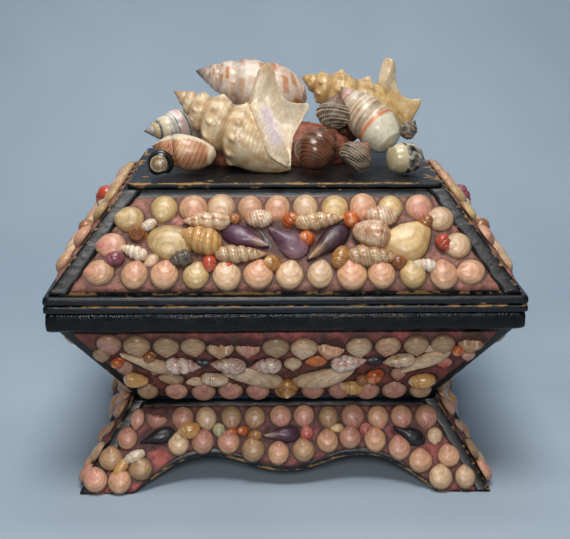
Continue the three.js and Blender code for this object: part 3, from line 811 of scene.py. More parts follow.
FORMS = {
    "valve": {"beak": 0.15, "hinge": -0.86},
    "mussel": {"taper": 0.72, "hinge": -0.9},
    "fan": {"corners": 0.1, "hinge": -0.86, "beak": 0.05},
    "crescent": {"taper": 0.3, "hinge": -0.85, "bend": -0.3},
    "turret": {"spire": 0.66, "whorls": 6, "belly": 0.72, "mouth": 0.32, "taper": 0.85, "ribs": 13,
               "rib_depth": 0.09, "seam": 0.2, "tip": 0.12},
    "olive": {"spire": 0.24, "whorls": 3, "belly": 0.5, "mouth": 0.42, "taper": 0.62, "seam": 0.1},
    "cone": {"spire": 0.16, "whorls": 3, "belly": 0.3, "mouth": 0.28, "taper": 0.7, "seam": 0.1, "cords": 5,
             "cord_depth": 0.02},
    "whelk": {"spire": 0.42, "whorls": 4, "belly": 0.62, "mouth": 0.34, "taper": 0.95, "seam": 0.2,
              "cords": 4, "cord_depth": 0.025},
    "drill": {"spire": 0.5, "whorls": 4, "belly": 0.64, "mouth": 0.4, "ribs": 12, "rib_depth": 0.1,
              "cords": 4,
              "cord_depth": 0.07, "beads": 12, "seam": 0.2},
    "top": {"spire": 0.55, "whorls": 3, "belly": 0.75, "mouth": 0.75, "taper": 0.85, "seam": 0.16, "cords": 3,
            "cord_depth": 0.03, "upright": 1.0, "crowding": 0.9},
    "ball": {"spire": 0.4, "whorls": 2, "belly": 0.6, "mouth": 0.7, "taper": 0.62, "seam": 0.12, "cords": 3,
             "cord_depth": 0.02, "upright": 0.6, "crowding": 0.9},
}


def turned(points, degrees):
    angle = math.radians(degrees)
    spin = np.array([[math.cos(angle), math.sin(angle)], [-math.sin(angle), math.cos(angle)]])
    return np.column_stack([points[:, :2] @ spin, points[:, 2]])


def add_small_shell(skins, slope, shell, seed):
    """Adds one shell to its skin, set in the putty of a slope."""
    form, u, v, length, width, turn, look = shell[:7]
    extra = shell[7] if len(shell) > 7 else {}
    shape = {**FORMS[form], "length": length, "width": width, **extra}
    random = np.random.default_rng(seed)
    near = slope.side == "front"
    if look in VALVES:
        shape.setdefault("height", 0.31 * min(length, width) * random.uniform(0.9, 1.1))
        rings, sides = (13, 36) if near else (7, 18)
        points, share = valve(shape, rings, sides, seed)
        hinge, middle, edge = (srgb(code) for code in VALVES[look])
        tint = mixed(mixed(hinge, middle, soft_step(0.0, 0.5, share)), edge, soft_step(0.45, 1.0, share))
        tint = tint * (1.0 + 0.12 * wander(points, 6.0, seed) + random.uniform(-0.12, 0.1))[:, None]
        # Darker brown at the rim: painted shade where the shell meets the putty, with some dirt.
        tint = mixed(tint, srgb("#6b4c38"), 0.35 * soft_step(0.9, 1.0, share))
        rays = random.integers(3, 6)
        growth = share**1.3 * rays + random.uniform(0.0, 1.0)
        faces = faces_of(cap_faces, rings, sides)
        points = turned(points, turn) + [u, v, PUTTY - 0.3]
        skins["small_shell"].add(slope.place(*points.T), faces, tint, growth)
        return
    colours, pattern = SNAILS[look]
    rings, sides = (44, 28) if near else (20, 14)
    shape.setdefault("face", random.uniform(3.6, 5.4))
    points, whorl = snail(shape, rings, sides)
    tint = paint_snail(whorl, points, {"colours": colours, "pattern": pattern}, seed)
    tint = tint * random.uniform(0.9, 1.1)
    points = points - [0.55 * length, 0.0, 0.0]
    lean = 0.25 * TAU * shape.get("upright", 0.0)
    lean = np.array([
        [math.cos(lean), 0.0, -math.sin(lean)],
        [0.0, 1.0, 0.0],
        [math.sin(lean), 0.0, math.cos(lean)],
    ])
    points = points @ lean
    lift = 0.22 * width if not shape.get("upright") else 0.12 * length
    points = turned(points, turn) + [u, v, PUTTY + lift]
    points[:, 2] = np.maximum(points[:, 2], 0.5)
    skins["spiral_shell"].add(slope.place(*points.T), faces_of(barrel_faces, rings, sides), tint)


# ---- Putty beds ----


def gap_to(shells, flat):
    """How far each point of the putty lies from the nearest shell's edge."""
    nearest = np.full(len(flat), 30.0)
    for shell in shells:
        u, v, length, width, turn = shell[1:6]
        local = turned(np.column_stack([flat - [u, v], np.zeros(len(flat))]), -turn)
        outside = np.hypot(2.0 * local[:, 0] / length, 2.0 * local[:, 1] / width) - 1.0
        nearest = np.minimum(nearest, outside * 0.25 * (length + width))
    return nearest


# Dulled by handling, fresh where shells are lost, and darkened in the gaps around them, which is painted
# shade with some grime. One set of tones for each tier.
PUTTY_TONES = {"lid_board": ("#9a6a58", "#d08374", "#33211b"), "box_wall": ("#6b3a31", "#b3564a", "#0d0807"),
               "stand_board": ("#86504a", "#c4675c", "#241412")}


def putty_bed(slope, low, high, margin, bare, shells):
    """The putty that a slope's shells are set in, with rough bare places at (u, v, radius)."""
    columns = 150 if slope.side == "front" else 72
    rows = 34 if slope.side == "front" else 18
    across = np.linspace(-1.0, 1.0, columns)
    low_half = slope.half(low) - margin
    high_half = slope.half(high) - margin
    ragged = wander(np.column_stack([across * 100.0, np.zeros(columns)]), 9.0, 60)
    low_u = across * low_half
    low_v = lower_edge(slope, low_u, low, SCALLOP["margin"]) + 0.35 * ragged
    up = np.linspace(0.0, 1.0, rows)[:, None]
    u = low_u + (across * high_half - low_u) * up
    v = low_v + (high - low_v) * up
    u = u + (0.5 * np.sign(u) * (np.abs(across) == 1.0)
             * wander(np.column_stack([v.ravel(), v.ravel()]), 9.0, 61).reshape(v.shape))
    flat = np.column_stack([u.ravel(), v.ravel()])
    lumps = 0.3 * wander(flat, 7.0, 62) + 0.25 * wander(flat, 2.8, 63)
    inside = np.minimum(
        np.minimum(up, 1.0 - up) * rows,
        np.minimum(1.0 - across, 1.0 + across)[None, :] * columns / 2)
    n = 0.3 + (PUTTY - 0.3) * np.clip(inside / 1.2, 0.0, 1.0) ** 0.5 + lumps.reshape(u.shape) * (inside > 0.4)
    dull, fresh, gap_shade_and_grime = (srgb(code) for code in PUTTY_TONES[slope.tier])
    gap = gap_to(shells, flat)
    n = n + (0.55 * np.exp(-np.abs(gap) / 0.9)).reshape(u.shape) * (inside > 0.4)
    share = 0.2 + 0.25 * wander(flat, 13.0, 64)
    for place_u, place_v, radius in bare:
        distance = np.hypot(flat[:, 0] - place_u, flat[:, 1] - place_v) / radius
        share = np.maximum(share, 1.0 - soft_step(0.75, 1.25, distance + 0.2 * wander(flat, 3.0, 65)))
        rim = np.exp(-(((distance - 1.0) / 0.25) ** 2)) * 0.5 - 0.5 * np.exp(-(distance**2) * 2.0)
        n = n + (rim + 0.25 * wander(flat, 1.6, 66) * (distance < 1.2)).reshape(u.shape)
    n = np.maximum(n, 0.3)
    # The gap tone darkens the putty within about a millimetre of each shell: painted shade in the crevices,
    # with some grime.
    tint = mixed(mixed(dull, fresh, share), gap_shade_and_grime, 0.75 * np.exp(-((np.maximum(gap, 0.0) / 1.1) ** 2)))
    top = slope.place(u, v, n)
    border = np.concatenate([
        np.arange(columns), np.arange(1, rows) * columns + columns - 1,
        (rows - 1) * columns + np.arange(columns - 2, -1, -1), np.arange(rows - 2, 0, -1) * columns,
    ])
    under = slope.place(u.ravel()[border], v.ravel()[border], 0.05)
    faces = []
    for row in range(rows - 1):
        first = row * columns
        faces += [
            (first + c, first + c + 1, first + columns + c + 1, first + columns + c)
            for c in range(columns - 1)
        ]
    count = len(top)
    here, following = wrapped(len(border))
    faces += [(border[a], count + a, count + b, border[b]) for a, b in zip(here, following)]
    faces.append(tuple(count + here[::-1]))
    skin = Skin()
    skin.add(np.vstack([top, under]), faces, np.vstack([tint, tint[border]]))
    return skin


# ---- Where the small shells lie ----
# (form, u, v, length, width, turn in degrees, look)
LID_FRONT = [
    ("valve", -60, 29, 19, 26, 84, "yellow"), ("top", -77, 33, 11, 10, 60, "brown"),
    ("olive", -71, 38, 9, 6, 30, "white"), ("turret", -78.5, 22.5, 17, 7.5, -22, "white"),
    ("valve", -69.5, 18.5, 9, 7, 40, "cream"), ("olive", -88, 19, 11, 8, 20, "violet"),
    ("drill", -54, 18.5, 13, 9, 15, "beaded"), ("whelk", -40, 39.5, 26, 11, 0, "mitre"),
    ("whelk", -43.5, 28.5, 25, 15, -22, "honey"), ("ball", -26.5, 41, 7, 6.5, 0, "brown"),
    ("olive", -39.5, 16.5, 9.5, 7.5, 90, "coral"), ("turret", -24.5, 20.8, 28, 10, 180, "turret"),
    ("mussel", -21, 30.5, 28, 16, 158, "plum"), ("olive", -13, 41, 15, 9.5, 5, "olive"),
    ("mussel", -10.5, 30, 14, 5, -60, "grey"), ("mussel", 1, 28.5, 26, 19, -36, "purple"),
    ("ball", -7, 16, 10, 9, 0, "gold"), ("ball", 2.5, 40.5, 9, 8, 200, "orange"),
    ("turret", 17, 39.5, 28, 10, 188, "turret"), ("ball", 11, 30, 9, 8.5, 0, "orange"),
    ("mussel", 22, 27.5, 30, 16, 42, "aubergine"), ("olive", 28.5, 19.5, 13, 9, 65, "almond"),
    ("ball", 34.5, 40.5, 10, 9, 90, "orange"), ("cone", 43.6, 31.5, 21, 16, 165, "cone"),
    ("turret", 45, 19.5, 30, 11, 178, "turret"), ("olive", 50.8, 42, 18, 11, 0, "olive"),
    ("ball", 59, 16.5, 9.5, 8, 0, "brown"), ("fan", 63.5, 28, 22, 29, -68, "yellow"),
    ("turret", 72, 14.8, 14, 7, -10, "white"), ("ball", 73.5, 39, 9, 8, 200, "brown"),
    ("whelk", 82, 27, 10, 8.5, 120, "coral"), ("ball", -30, 14.5, 6, 6, 0, "coral"),
]
LID_BARE = [(-55, 42.5, 4.6), (-20, 17, 2.5), (0, 20, 3), (88, 36, 2), (60, 43, 2)]
BOX_FRONT = [
    ("valve", -98, 45, 11, 10, 90, "tan"), ("ball", -90, 39, 8, 7, 0, "orange"),
    ("valve", -87, 33, 12, 10, 90, "rose"), ("mussel", -73, 37, 36, 14, -30, "cream"),
    ("ball", -72.5, 44, 7.5, 7, 0, "brown"), ("whelk", -56, 37, 20, 10, 172, "candy"),
    ("mussel", -45.5, 36, 11, 9, 200, "black"), ("whelk", -30, 37, 20, 10, -8, "candy"),
    ("whelk", -9.5, 36.5, 17, 9.5, 8, "candy"), ("valve", 4, 36, 10.5, 10.5, 90, "cream"),
    ("valve", 17, 38, 12, 9.5, 10, "amber"), ("whelk", 33, 39, 20, 10, 192, "candy"),
    ("mussel", 48, 38, 11, 9, -20, "black"), ("whelk", 61.5, 41, 18, 9, 16, "mitre"),
    ("valve", 77, 49, 11, 6, 20, "cream"), ("mussel", 75, 38, 35, 14, 38, "cream"),
    ("ball", 92, 49, 8, 7, 0, "orange"), ("valve", 86, 36, 9, 9, 90, "red"),
    ("cone", -81, 23, 14, 9, -12, "honey"), ("valve", -62, 22, 14, 10, -10, "tan"),
    ("valve", -49, 19, 11, 8, 10, "cream"), ("olive", -38, 23.5, 16, 8.5, -8, "olive"),
    ("crescent", -17, 23, 38, 17, -22, "cream"), ("crescent", 21, 23, 38, 17, 202, "cream"),
    ("top", 1, 14, 13, 14, 0, "gold"), ("olive", 38, 14, 13, 8.5, -10, "honey"),
    ("ball", 42.5, 21.5, 8, 7, 0, "brown"), ("ball", 49, 25, 10, 9, 0, "orange"),
    ("valve", 62, 26, 12, 9, 90, "rose"), ("olive", 76, 21, 15, 9, 12, "honey"),
    ("valve", 68, 33, 9, 7, 60, "tan"), ("valve", -70, 30, 9, 7, 60, "tan"),
    ("valve", 98, 43, 9, 8, 90, "pink"),
]
BOX_BARE = [(-34, 57, 5), (-18, 57, 5), (27, 57, 5), (98, 54, 6), (-49, 58.5, 3.5), (60, 59, 5), (8, 59, 5),
            (84, 59, 5),
            (42, 45, 3), (-3, 59, 4), (-48, 13, 3)]
STAND_FRONT = [
    ("mussel", -71, 31, 21, 12, 18, "black"), ("olive", -53, 34.5, 13, 9.5, 10, "honey"),
    ("valve", -37, 35, 8, 7, 90, "green"), ("ball", -29, 33.5, 6, 5, 0, "orange"),
    ("ball", -23.5, 34, 7, 6, 0, "orange"), ("olive", -16.5, 31.5, 8, 6, 0, "almond"),
    ("mussel", -2, 32, 22, 12.5, 4, "plum"), ("valve", 29, 35.5, 8, 5.5, 0, "yellow"),
    ("mussel", 69, 31.5, 20, 12.5, -26, "black"), ("valve", 83.5, 31, 10, 9, 90, "cream"),
    ("olive", -83, 20.5, 13, 6.5, 24, "white"), ("cone", -91.5, 13, 13, 6, 235, "honey"),
    ("valve", -82.5, 41.5, 12, 8, 80, "pink"), ("valve", 12, 33, 8, 7, 90, "red"),
    ("valve", 45, 35, 8, 7, 90, "red"),
]
# The round shells along the front scallop and on its feet.
STAND_ROUNDS = [(-104.5, 7.4), (-91, 7.0), (-97, 18.5), (-80, 13), (-88, 30), (-59, 26.5), (-45.5, 28.5),
                (-31.5, 27.5),
                (-17.5, 23.5), (-3.5, 21), (10, 22.5), (23, 28), (36.5, 30), (50.5, 28.5), (63, 23.5),
                (75, 17),
                (91, 19), (86, 7.6), (99.5, 7.4)]
STAND_BARE = [(-71, 42, 4), (12, 33, 4.2), (45, 35, 4.5), (-70, 20, 5), (63, 20, 4.5), (83, 22, 5),
              (-82, 40, 3),
              (62, 31, 3), (-100, 2, 4), (-84, 1.5, 4), (104, 2, 5), (90, 2, 3), (76, 28, 3), (-88, 29, 3)]
# Right halves of the patterns that mirror, with a look for each shell.
LID_BACK = [("valve", 62, 28, 22, 17, 80, "yellow"), ("turret", 40, 36, 22, 8, 8, "turret"),
            ("mussel", 38, 22, 24, 11, 15, "plum"), ("valve", 14, 28, 18, 14, 80, "cream")]
LID_END = [("mussel", 32, 22, 20, 10, 25, "plum"), ("turret", 18, 36, 18, 7, 10, "mitre"),
           ("ball", 44, 27, 10, 10, 0, "brown")]
BOX_BACK = [("mussel", 75, 37, 32, 11, 45, "cream"), ("cone", 52, 35, 18, 9, 0, "candy"),
            ("cone", 27, 35, 18, 9, 180, "candy"), ("valve", 9, 35, 12, 9, 90, "cream"),
            ("valve", 58, 22, 14, 10, 90, "tan"), ("crescent", 21, 21, 27, 10, 204, "yellow")]
BOX_END = [("mussel", 47, 35, 28, 10, 45, "cream"), ("cone", 27, 34, 17, 9, 0, "candy"),
           ("cone", 9, 34, 15, 9, 180, "cone"), ("valve", 40, 21, 11, 9, 90, "tan"),
           ("crescent", 18, 21, 24, 10, 204, "yellow")]
STAND_LONG = [("mussel", 69, 31.5, 17, 8, -22, "black"), ("olive", 52.5, 34, 10, 8, 0, "honey"),
              ("valve", 37, 34.5, 9, 8, 90, "green"), ("ball", 21, 33, 7, 6, 0, "orange"),
              ("valve", 84, 31, 9, 8, 90, "cream")]
STAND_END = [("mussel", 42, 31.5, 16, 8, -22, "black"), ("olive", 26, 33.5, 10, 8, 0, "honey"),
             ("valve", 55, 31, 9, 8, 90, "cream")]
# Single shells: the middles of the patterns, and a tall one on each end of the lid.
BOX_CENTRE = ("top", 0, 14, 13, 13, 0, "gold")
STAND_CENTRE = ("mussel", -1, 31.7, 17, 8, 3, "plum")
TALL = {"left": ("whelk", -10, 33, 18, 12, 60, "coral", {"lift": 3.0}),
        "right": ("whelk", 8, 33, 17, 12, 70, "violet", {"lift": 3.0})}
LID_CORNERS = [(96, 11.5), (90, 26.5), (81.5, 41)]
FEET = [(104, 8), (91, 8), (98, 20)]


def mirrored(shells):
    return shells + [
        (form, -u, v, length, width, 180 - turn, look)
        for form, u, v, length, width, turn, look in shells
    ]


class Layout:
    """The round shells of a slope in rows and pairs, each a little different from the next."""

    def __init__(self, slope, looks):
        self.slope = slope
        self.looks = looks
        self.random = np.random.default_rng(sum(ord(letter) for letter in slope.tier + slope.side))
        self.shells = []

    def round_shell(self, u, v, size, turn, **extra):
        jitter = self.random.uniform(-0.5, 0.5, 2)
        size = size * self.random.uniform(0.94, 1.04)
        narrow = size * self.random.uniform(0.9, 1.02)
        look = self.looks[self.random.integers(len(self.looks))]
        turn = turn + self.random.uniform(-16, 16)
        self.shells.append(("valve", u + jitter[0], v + jitter[1], size, narrow, turn, look, extra))

    def row(self, count, reach, v, size, turn, shift=0.0, broken=()):
        for index, u in enumerate(np.linspace(-reach, reach, count) + shift):
            extra = {"broken": (0.0, 0.0)} if index in broken else {}
            self.round_shell(u, v(u), size, turn, **extra)

    def pairs(self, places, size, turn):
        for u, v in places:
            for sign in (-1.0, 1.0):
                self.round_shell(sign * (u - self.slope.short), v, size, turn)


def lid_layout(slope):
    layout = Layout(slope, ["peach", "cream", "pink", "peach", "cream", "yellow"])
    front = slope.side == "front"
    layout.row(11 if slope.long else 7, 80 - slope.short, lambda u: 9.7, ROUND * 1.04, -90, 1.8 * front)
    layout.row(10 if slope.long else 6, 67 - slope.short, lambda u: 48.0, ROUND, 90, 3.4 * front)
    layout.pairs(LID_CORNERS, ROUND, 0)
    if front:
        return layout.shells + LID_FRONT
    if slope.side == "back":
        return layout.shells + mirrored(LID_BACK)
    return layout.shells + mirrored(LID_END) + [TALL[slope.side]]


def box_layout(slope):
    layout = Layout(slope, ["tan", "rose", "cream", "tan", "peach"])
    reach = 98 - slope.short
    front = slope.side == "front"
    layout.row(14 if front else (15 if slope.long else 10), reach - 2.5 * front,
               lambda u: 51 + 4 * (u / reach) ** 2, ROUND, 90, 2.5 * front, (4, 5, 8, 13) if front else ())
    layout.looks = ["rose", "tan", "rose", "pink"]
    layout.row(11 if slope.long else 7, 76 - slope.short, lambda u: 9.0, ROUND * 0.93, -90)
    if front:
        return layout.shells + BOX_FRONT
    if slope.side == "back":
        return layout.shells + mirrored(BOX_BACK) + [BOX_CENTRE]
    return layout.shells + mirrored(BOX_END)


def stand_layout(slope):
    layout = Layout(slope, ["peach", "tan", "pink", "peach", "cream", "rose"])
    if slope.side == "front":
        layout.row(12, 75, lambda u: 42.3, STAND_ROUND, 90, 4.0, (0,))
        for u, v in STAND_ROUNDS:
            layout.round_shell(u, v, STAND_ROUND, -90)
        return layout.shells + STAND_FRONT
    layout.row(13 if slope.long else 8, 80 - slope.short, lambda u: 42.3, STAND_ROUND, 90)
    foot = SCALLOP["foot"] - slope.short
    u = np.linspace(-foot, foot, 400)
    v = scallop(slope, u, SCALLOP["margin"])
    travelled = np.concatenate([[0.0], np.cumsum(np.hypot(np.diff(u), np.diff(v)))])
    count = 13 if slope.long else 8
    for step in np.linspace(0.0, travelled[-1], count + 1)[1:-1]:
        place_u = np.interp(step, travelled, u)
        layout.round_shell(place_u, np.interp(step, travelled, v) + STAND_ROUND / 2.0, STAND_ROUND, -90)
    layout.pairs(FEET, STAND_ROUND, -90)
    if slope.side == "back":
        return layout.shells + mirrored(STAND_LONG) + [STAND_CENTRE]
    return layout.shells + mirrored(STAND_END)


BEDS = {
    "stand": ("stand_board", stand_layout, (1.0, 48.6, 6.5), STAND_BARE),
    "box": ("box_wall", box_layout, (2.5, 61.0, 5.5), BOX_BARE),
    "lid": ("lid_board", lid_layout, (2.0, 55.0, 9.5), LID_BARE),
}


def dress_bed(tier, side):
    board, layout, (low, high, margin), bare = BEDS[tier]
    slope = SLOPES[board, side]
    node = f"{tier}_shells_{side}"
    if side != "front":
        bare = [(0.6 * u, v, radius) for u, v, radius in bare[::3]]
    shells = layout(slope)
    bed = putty_bed(slope, low, high, margin, bare, shells).build(f"{tier}_putty_{side}", "putty")
    dress(bed, "putty", node)
    skins = {"small_shell": Skin(), "spiral_shell": Skin()}
    for skin in skins.values():
        skin.ground = 0.0
    for index, shell in enumerate(shells):
        add_small_shell(skins, slope, shell, 1000 * len(tier) + 100 * list(TURNS).index(side) + index)
    dress(skins["small_shell"].build(f"{tier}_valves_{side}", "small_shell"), "small_shells", node)
    dress(skins["spiral_shell"].build(f"{tier}_spirals_{side}", "spiral_shell"), "small_shells", node)


for tier in BEDS:
    for side in TURNS:
        dress_bed(tier, side)

# ---- The heap of large shells ----
HEAP_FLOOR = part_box("lid_top_board")[1].z / MM
# apex and towards are a shell's two ends, out is the way its mouth side faces, and face turns its mouth.
HEAP = {
    "ivory_shell": {
        "apex": (-51, 18, 220), "towards": (14, 19, 203), "width": 33, "spire": 0.42, "whorls": 4,
        "belly": 0.62,
        "mouth": 0.3, "seam": 0.12, "taper": 0.9, "slot": "pale_shell", "pattern": "blotched",
        "colours": ("#e9dfd0", "#c07f42", "#4b5058", "#f0eae0"), "face": 4.4, "strength": 1.0,
    },
    "tree_snail_left": {
        "apex": (-80, -3, 188), "towards": (-44, 16, 190), "width": 22, "spire": 0.45, "whorls": 4,
        "belly": 0.62,
        "mouth": 0.5, "seam": 0.14, "slot": "pale_shell", "pattern": "sparse", "strength": 1.0,
        "colours": ("#f4efe6", "#15141a", "#1b1a1c", "#f3cdc6"), "face": 4.4, "tip_length": 0.07,
        "girdles": [(0.12, 0.16, "#d9c27a"), (0.17, 0.2, "#1b1a1c"), (0.21, 0.3, "#e9e0c0"),
                    (0.44, 0.49, "#ecc6c0")],
    },
    "tree_snail_right": {
        "apex": (33, 6, 212), "towards": (61, -19, 182), "width": 26, "spire": 0.42, "whorls": 4,
        "belly": 0.62,
        "mouth": 0.5, "seam": 0.13, "slot": "pale_shell", "pattern": "ringed", "strength": 0.8,
        "colours": ("#e9dfcb", "#a9824f", "#2a1d26", "#f1ebdf"), "face": 5.2, "tip_length": 0.06,
        "girdles": [(0.09, 0.22, "#d9b3a8"), (0.66, 0.71, "#d98a5c"), (0.71, 1.1, "#dfdcc4")],
    },
    "volute": {
        "apex": (-73, -28, 184), "towards": (-37.5, -31, 179), "width": 22, "spire": 0.24, "whorls": 2,
        "belly": 0.5, "mouth": 0.3, "seam": 0.14, "slot": "brown_shell", "pattern": "speckled",
        "strength": 0.9,
        "colours": ("#dcb68e", "#a04a2a", "#6e4030", "#e6d6ba"), "face": 0.8,
        "stripes": [(1.9, 0.42, "#e9dcc2")], "girdles": [(0.9, 1.1, "#e6d3b4")],
    },
    "nerite_left": {
        "apex": (-68, -48, 177.5), "towards": (-67, -39.5, 176.5), "width": 15, "spire": 0.25, "whorls": 2,
        "belly": 0.7, "mouth": 0.7, "seam": 0.12, "taper": 0.55, "slot": "dark_shell", "pattern": "checked",
        "colours": ("#17161a", "#0b0b0d", "#d8c3a0", "#38343a"), "face": 4.0, "tip_length": 0.05,
        "girdles": [(0.03, 0.1, "#8d7a5c"), (0.12, 0.17, "#c9b48e")],
        "material": "polished_shell",
    },
    "turban": {
        "apex": (27.4, -20.5, 191), "towards": (9.6, -35.2, 174), "width": 23, "spire": 0.32, "whorls": 3,
        "belly": 0.58, "mouth": 0.2, "seam": 0.12, "taper": 0.75, "slot": "brown_shell",
        "pattern": "ringed", "hollow": 0.0,
        "colours": ("#80543c", "#3a2018", "#8d6248", "#80543c"), "face": 4.0, "strength": 1.0,
        "material": "polished_shell",
    },
    "top_shell_high": {
        "apex": (31, -10, 210.5), "towards": (25.5, -17, 191.5), "width": 19, "spire": 0.45, "whorls": 3,
        "belly": 0.6,
        "mouth": 0.3, "cords": 4, "cord_depth": 0.1, "beads": 34, "slot": "grey_shell", "pattern": "beaded",
        "colours": ("#57493f", "#dccfb0", "#7a4638", "#8d7f6a"), "face": 3.6, "seam": 0.12, "taper": 1.1,
        "hollow": 0.0, "tip_length": 0.3,
    },
    "top_shell_low": {
        "apex": (47, -31, 186), "towards": (35, -35, 174), "width": 19, "spire": 0.4, "whorls": 3,
        "belly": 0.62,
        "mouth": 0.6, "cords": 4, "cord_depth": 0.1, "beads": 32, "slot": "grey_shell", "pattern": "beaded",
        "colours": ("#4a423c", "#cbbf9f", "#9a6a5a", "#7d705e"), "face": 3.6, "seam": 0.12, "taper": 1.1,
        "hollow": 0.0, "tip_length": 0.35,
    },
    "nerite_right": {
        "apex": (77, -26, 177), "towards": (58, -35, 178), "width": 18, "spire": 0.2, "whorls": 2,
        "belly": 0.55,
        "mouth": 0.65, "seam": 0.1, "taper": 0.6, "slot": "dark_shell", "pattern": "zebra", "strength": 1.0,
        "colours": ("#101218", "#e3ddca", "#3a342c", "#d9cfae"), "face": 1.5, "material": "polished_shell",
        "girdles": [(0.66, 1.1, "#cfc39e")],
    },
    "top_shell_small": {
        "apex": (73, -23, 197), "towards": (66, -28, 188.5), "width": 10, "spire": 0.45, "whorls": 2,
        "belly": 0.6,
        "mouth": 0.5, "cords": 3, "cord_depth": 0.1, "beads": 22, "slot": "grey_shell", "pattern": "beaded",
        "colours": ("#423a34", "#a89c84", "#6b4a3e", "#6d6252"), "face": 3.6, "seam": 0.16, "taper": 1.1,
        "hollow": 0.0,
    },
    "olive_back": {
        "apex": (-28, 45, 178), "towards": (8, 47, 177.5), "width": 16, "spire": 0.18, "whorls": 2,
        "belly": 0.45,
        "mouth": 0.5, "seam": 0.1, "taper": 0.65, "slot": "brown_shell", "pattern": "flamed",
        "colours": ("#c39a6a", "#7d5230", "#a5784e", "#e6d3b2"), "face": 4.0, "material": "polished_shell",
    },
    "turban_back": {
        "apex": (31, 40, 190), "towards": (43, 45, 174), "width": 19, "spire": 0.34, "whorls": 2,
        "belly": 0.58,
        "mouth": 0.5, "seam": 0.14, "taper": 0.8, "slot": "brown_shell", "pattern": "ringed",
        "colours": ("#8b6350", "#4a2e24", "#a07c64", "#cdb098"), "face": 4.0,
    },
    "cone_back": {
        "apex": (-66, 33, 180), "towards": (-36, 43, 177), "width": 15, "spire": 0.2, "whorls": 2,
        "belly": 0.3,
        "mouth": 0.3, "seam": 0.1, "taper": 0.7, "slot": "pale_shell", "pattern": "slanted",
        "colours": ("#e2d0b0", "#a5713f", "#c79a66", "#efe3cc"), "face": 4.0,
    },
}


def axes_of(shell):
    """A large shell's apex, its length, and its axes: along it, across it and out towards its mouth side."""
    apex, towards = np.array(shell["apex"], float), np.array(shell["towards"], float)
    length = float(np.linalg.norm(towards - apex))
    along = (towards - apex) / length
    out = np.array(shell.get("out", (0.0, 0.0, 1.0)), float)
    out = out - out @ along * along
    out /= np.linalg.norm(out)
    return apex, length, np.array([along, np.cross(out, along), out])


def large_shell(name, shell, seed):
    apex, length, axes = axes_of(shell)
    rings, sides = (170, 110) if length > 34 else (100, 96)
    if "beads" in shell:
        rings, sides = 110, 6 * shell["beads"]
    points, whorl = snail({**shell, "length": length, "width": 0.97 * shell["width"]}, rings, sides)
    tint = paint_snail(whorl, points, {"cloud": 0.25 * length, **shell}, seed)
    placed = apex + points @ axes
    placed[:, 2] = np.maximum(placed[:, 2], HEAP_FLOOR + 0.1)
    skin = Skin()
    growth = whorl["angle"] / TAU * 9.0 + 0.4 * wander(points, 6.0, seed)
    skin.add(placed, faces_of(barrel_faces, rings, sides), tint, growth)
    piece = skin.build(f"{name}_detailed", shell.get("material", "large_shell"))
    return dress(piece, shell["slot"], name)


for index, (name, shell) in enumerate(HEAP.items()):
    large_shell(name, shell, 300 + index)

# ---- The two conches: a spiral body fused with a flared lip ----
CONCHES = {
    "conch_front": {
        "apex": (-62, -9, 212), "towards": (4, -26, 170), "width": 33, "spire": 0.42, "whorls": 5,
        "belly": 0.54,
        "mouth": 0.12, "out": (0.55, 0.22, 0.8), "face": 1.75, "seam": 0.26, "knobs": 11, "knob": 0.13,
        "cords": 6, "cord_depth": 0.012, "taper": 1.0, "tip": 0.08,
        "edge": [(2, 30), (10, 36), (18, 38.5), (25, 36.5), (31, 34.5), (37, 34), (41, 35.5), (42, 38.5),
                 (39.5, 42.5),
                 (36, 46.5), (33, 50), (31, 54), (31, 59), (33.5, 64), (36, 67.5), (33, 69.5), (27, 70),
                 (19, 70.5),
                 (11, 73.5), (1.5, 79)],
        "root": [(17, 40), (12.5, 47), (7.5, 54), (2.5, 61), (-1.5, 68), (-0.5, 78)],
        "groove": [(19, 50), (8.5, 65)],
        "colours": ("#e6d3ae", "#b5854c", "#a1733e", "#ddd3de"), "cup": 1.0, "finger": (0.515, -0.04),
    },
    "conch_back": {
        "apex": (11, 30, 215.4), "towards": (76, 26, 185.4), "width": 30, "spire": 0.36, "whorls": 3,
        "belly": 0.5,
        "mouth": 0.15, "out": (0.3, 0.1, 0.95), "face": 0.2, "seam": 0.22, "knobs": 9, "knob": 0.2,
        "cords": 4, "cord_depth": 0.012, "taper": 0.9, "tip": 0.12,
        "edge": [(2, 36), (7, 41), (12, 43), (18.5, 42.3), (25, 40.3), (29, 40), (31.5, 42), (31, 46),
                 (27, 49),
                 (22, 52), (17.5, 55.5), (15, 60), (15.5, 65), (18, 70), (15, 71.5), (8, 71.3), (1.5, 71)],
        "root": [(-2, 38), (-2, 68)], "groove": [],
        "colours": ("#d9bd84", "#a37238", "#b98e4e", "#e6d2a2"), "cup": -0.4, "finger": (0.66, -0.06),
    },
}
VOXEL = 0.55


def smooth_path(corners, count):
    """A smooth open curve through corners."""
    corners = np.array(corners, float)
    padded = np.vstack([2 * corners[0] - corners[1], corners, 2 * corners[-1] - corners[-2]])
    place = np.linspace(0.0, len(corners) - 1.0001, count)
    step = place.astype(int)
    share = (place - step)[:, None]
    before, start, end, after = (padded[step + offset] for offset in range(4))
    return 0.5 * (2 * start + (end - before) * share + (2 * before - 5 * start + 4 * end - after) * share**2
                  + (3 * start - before - 3 * end + after) * share**3)


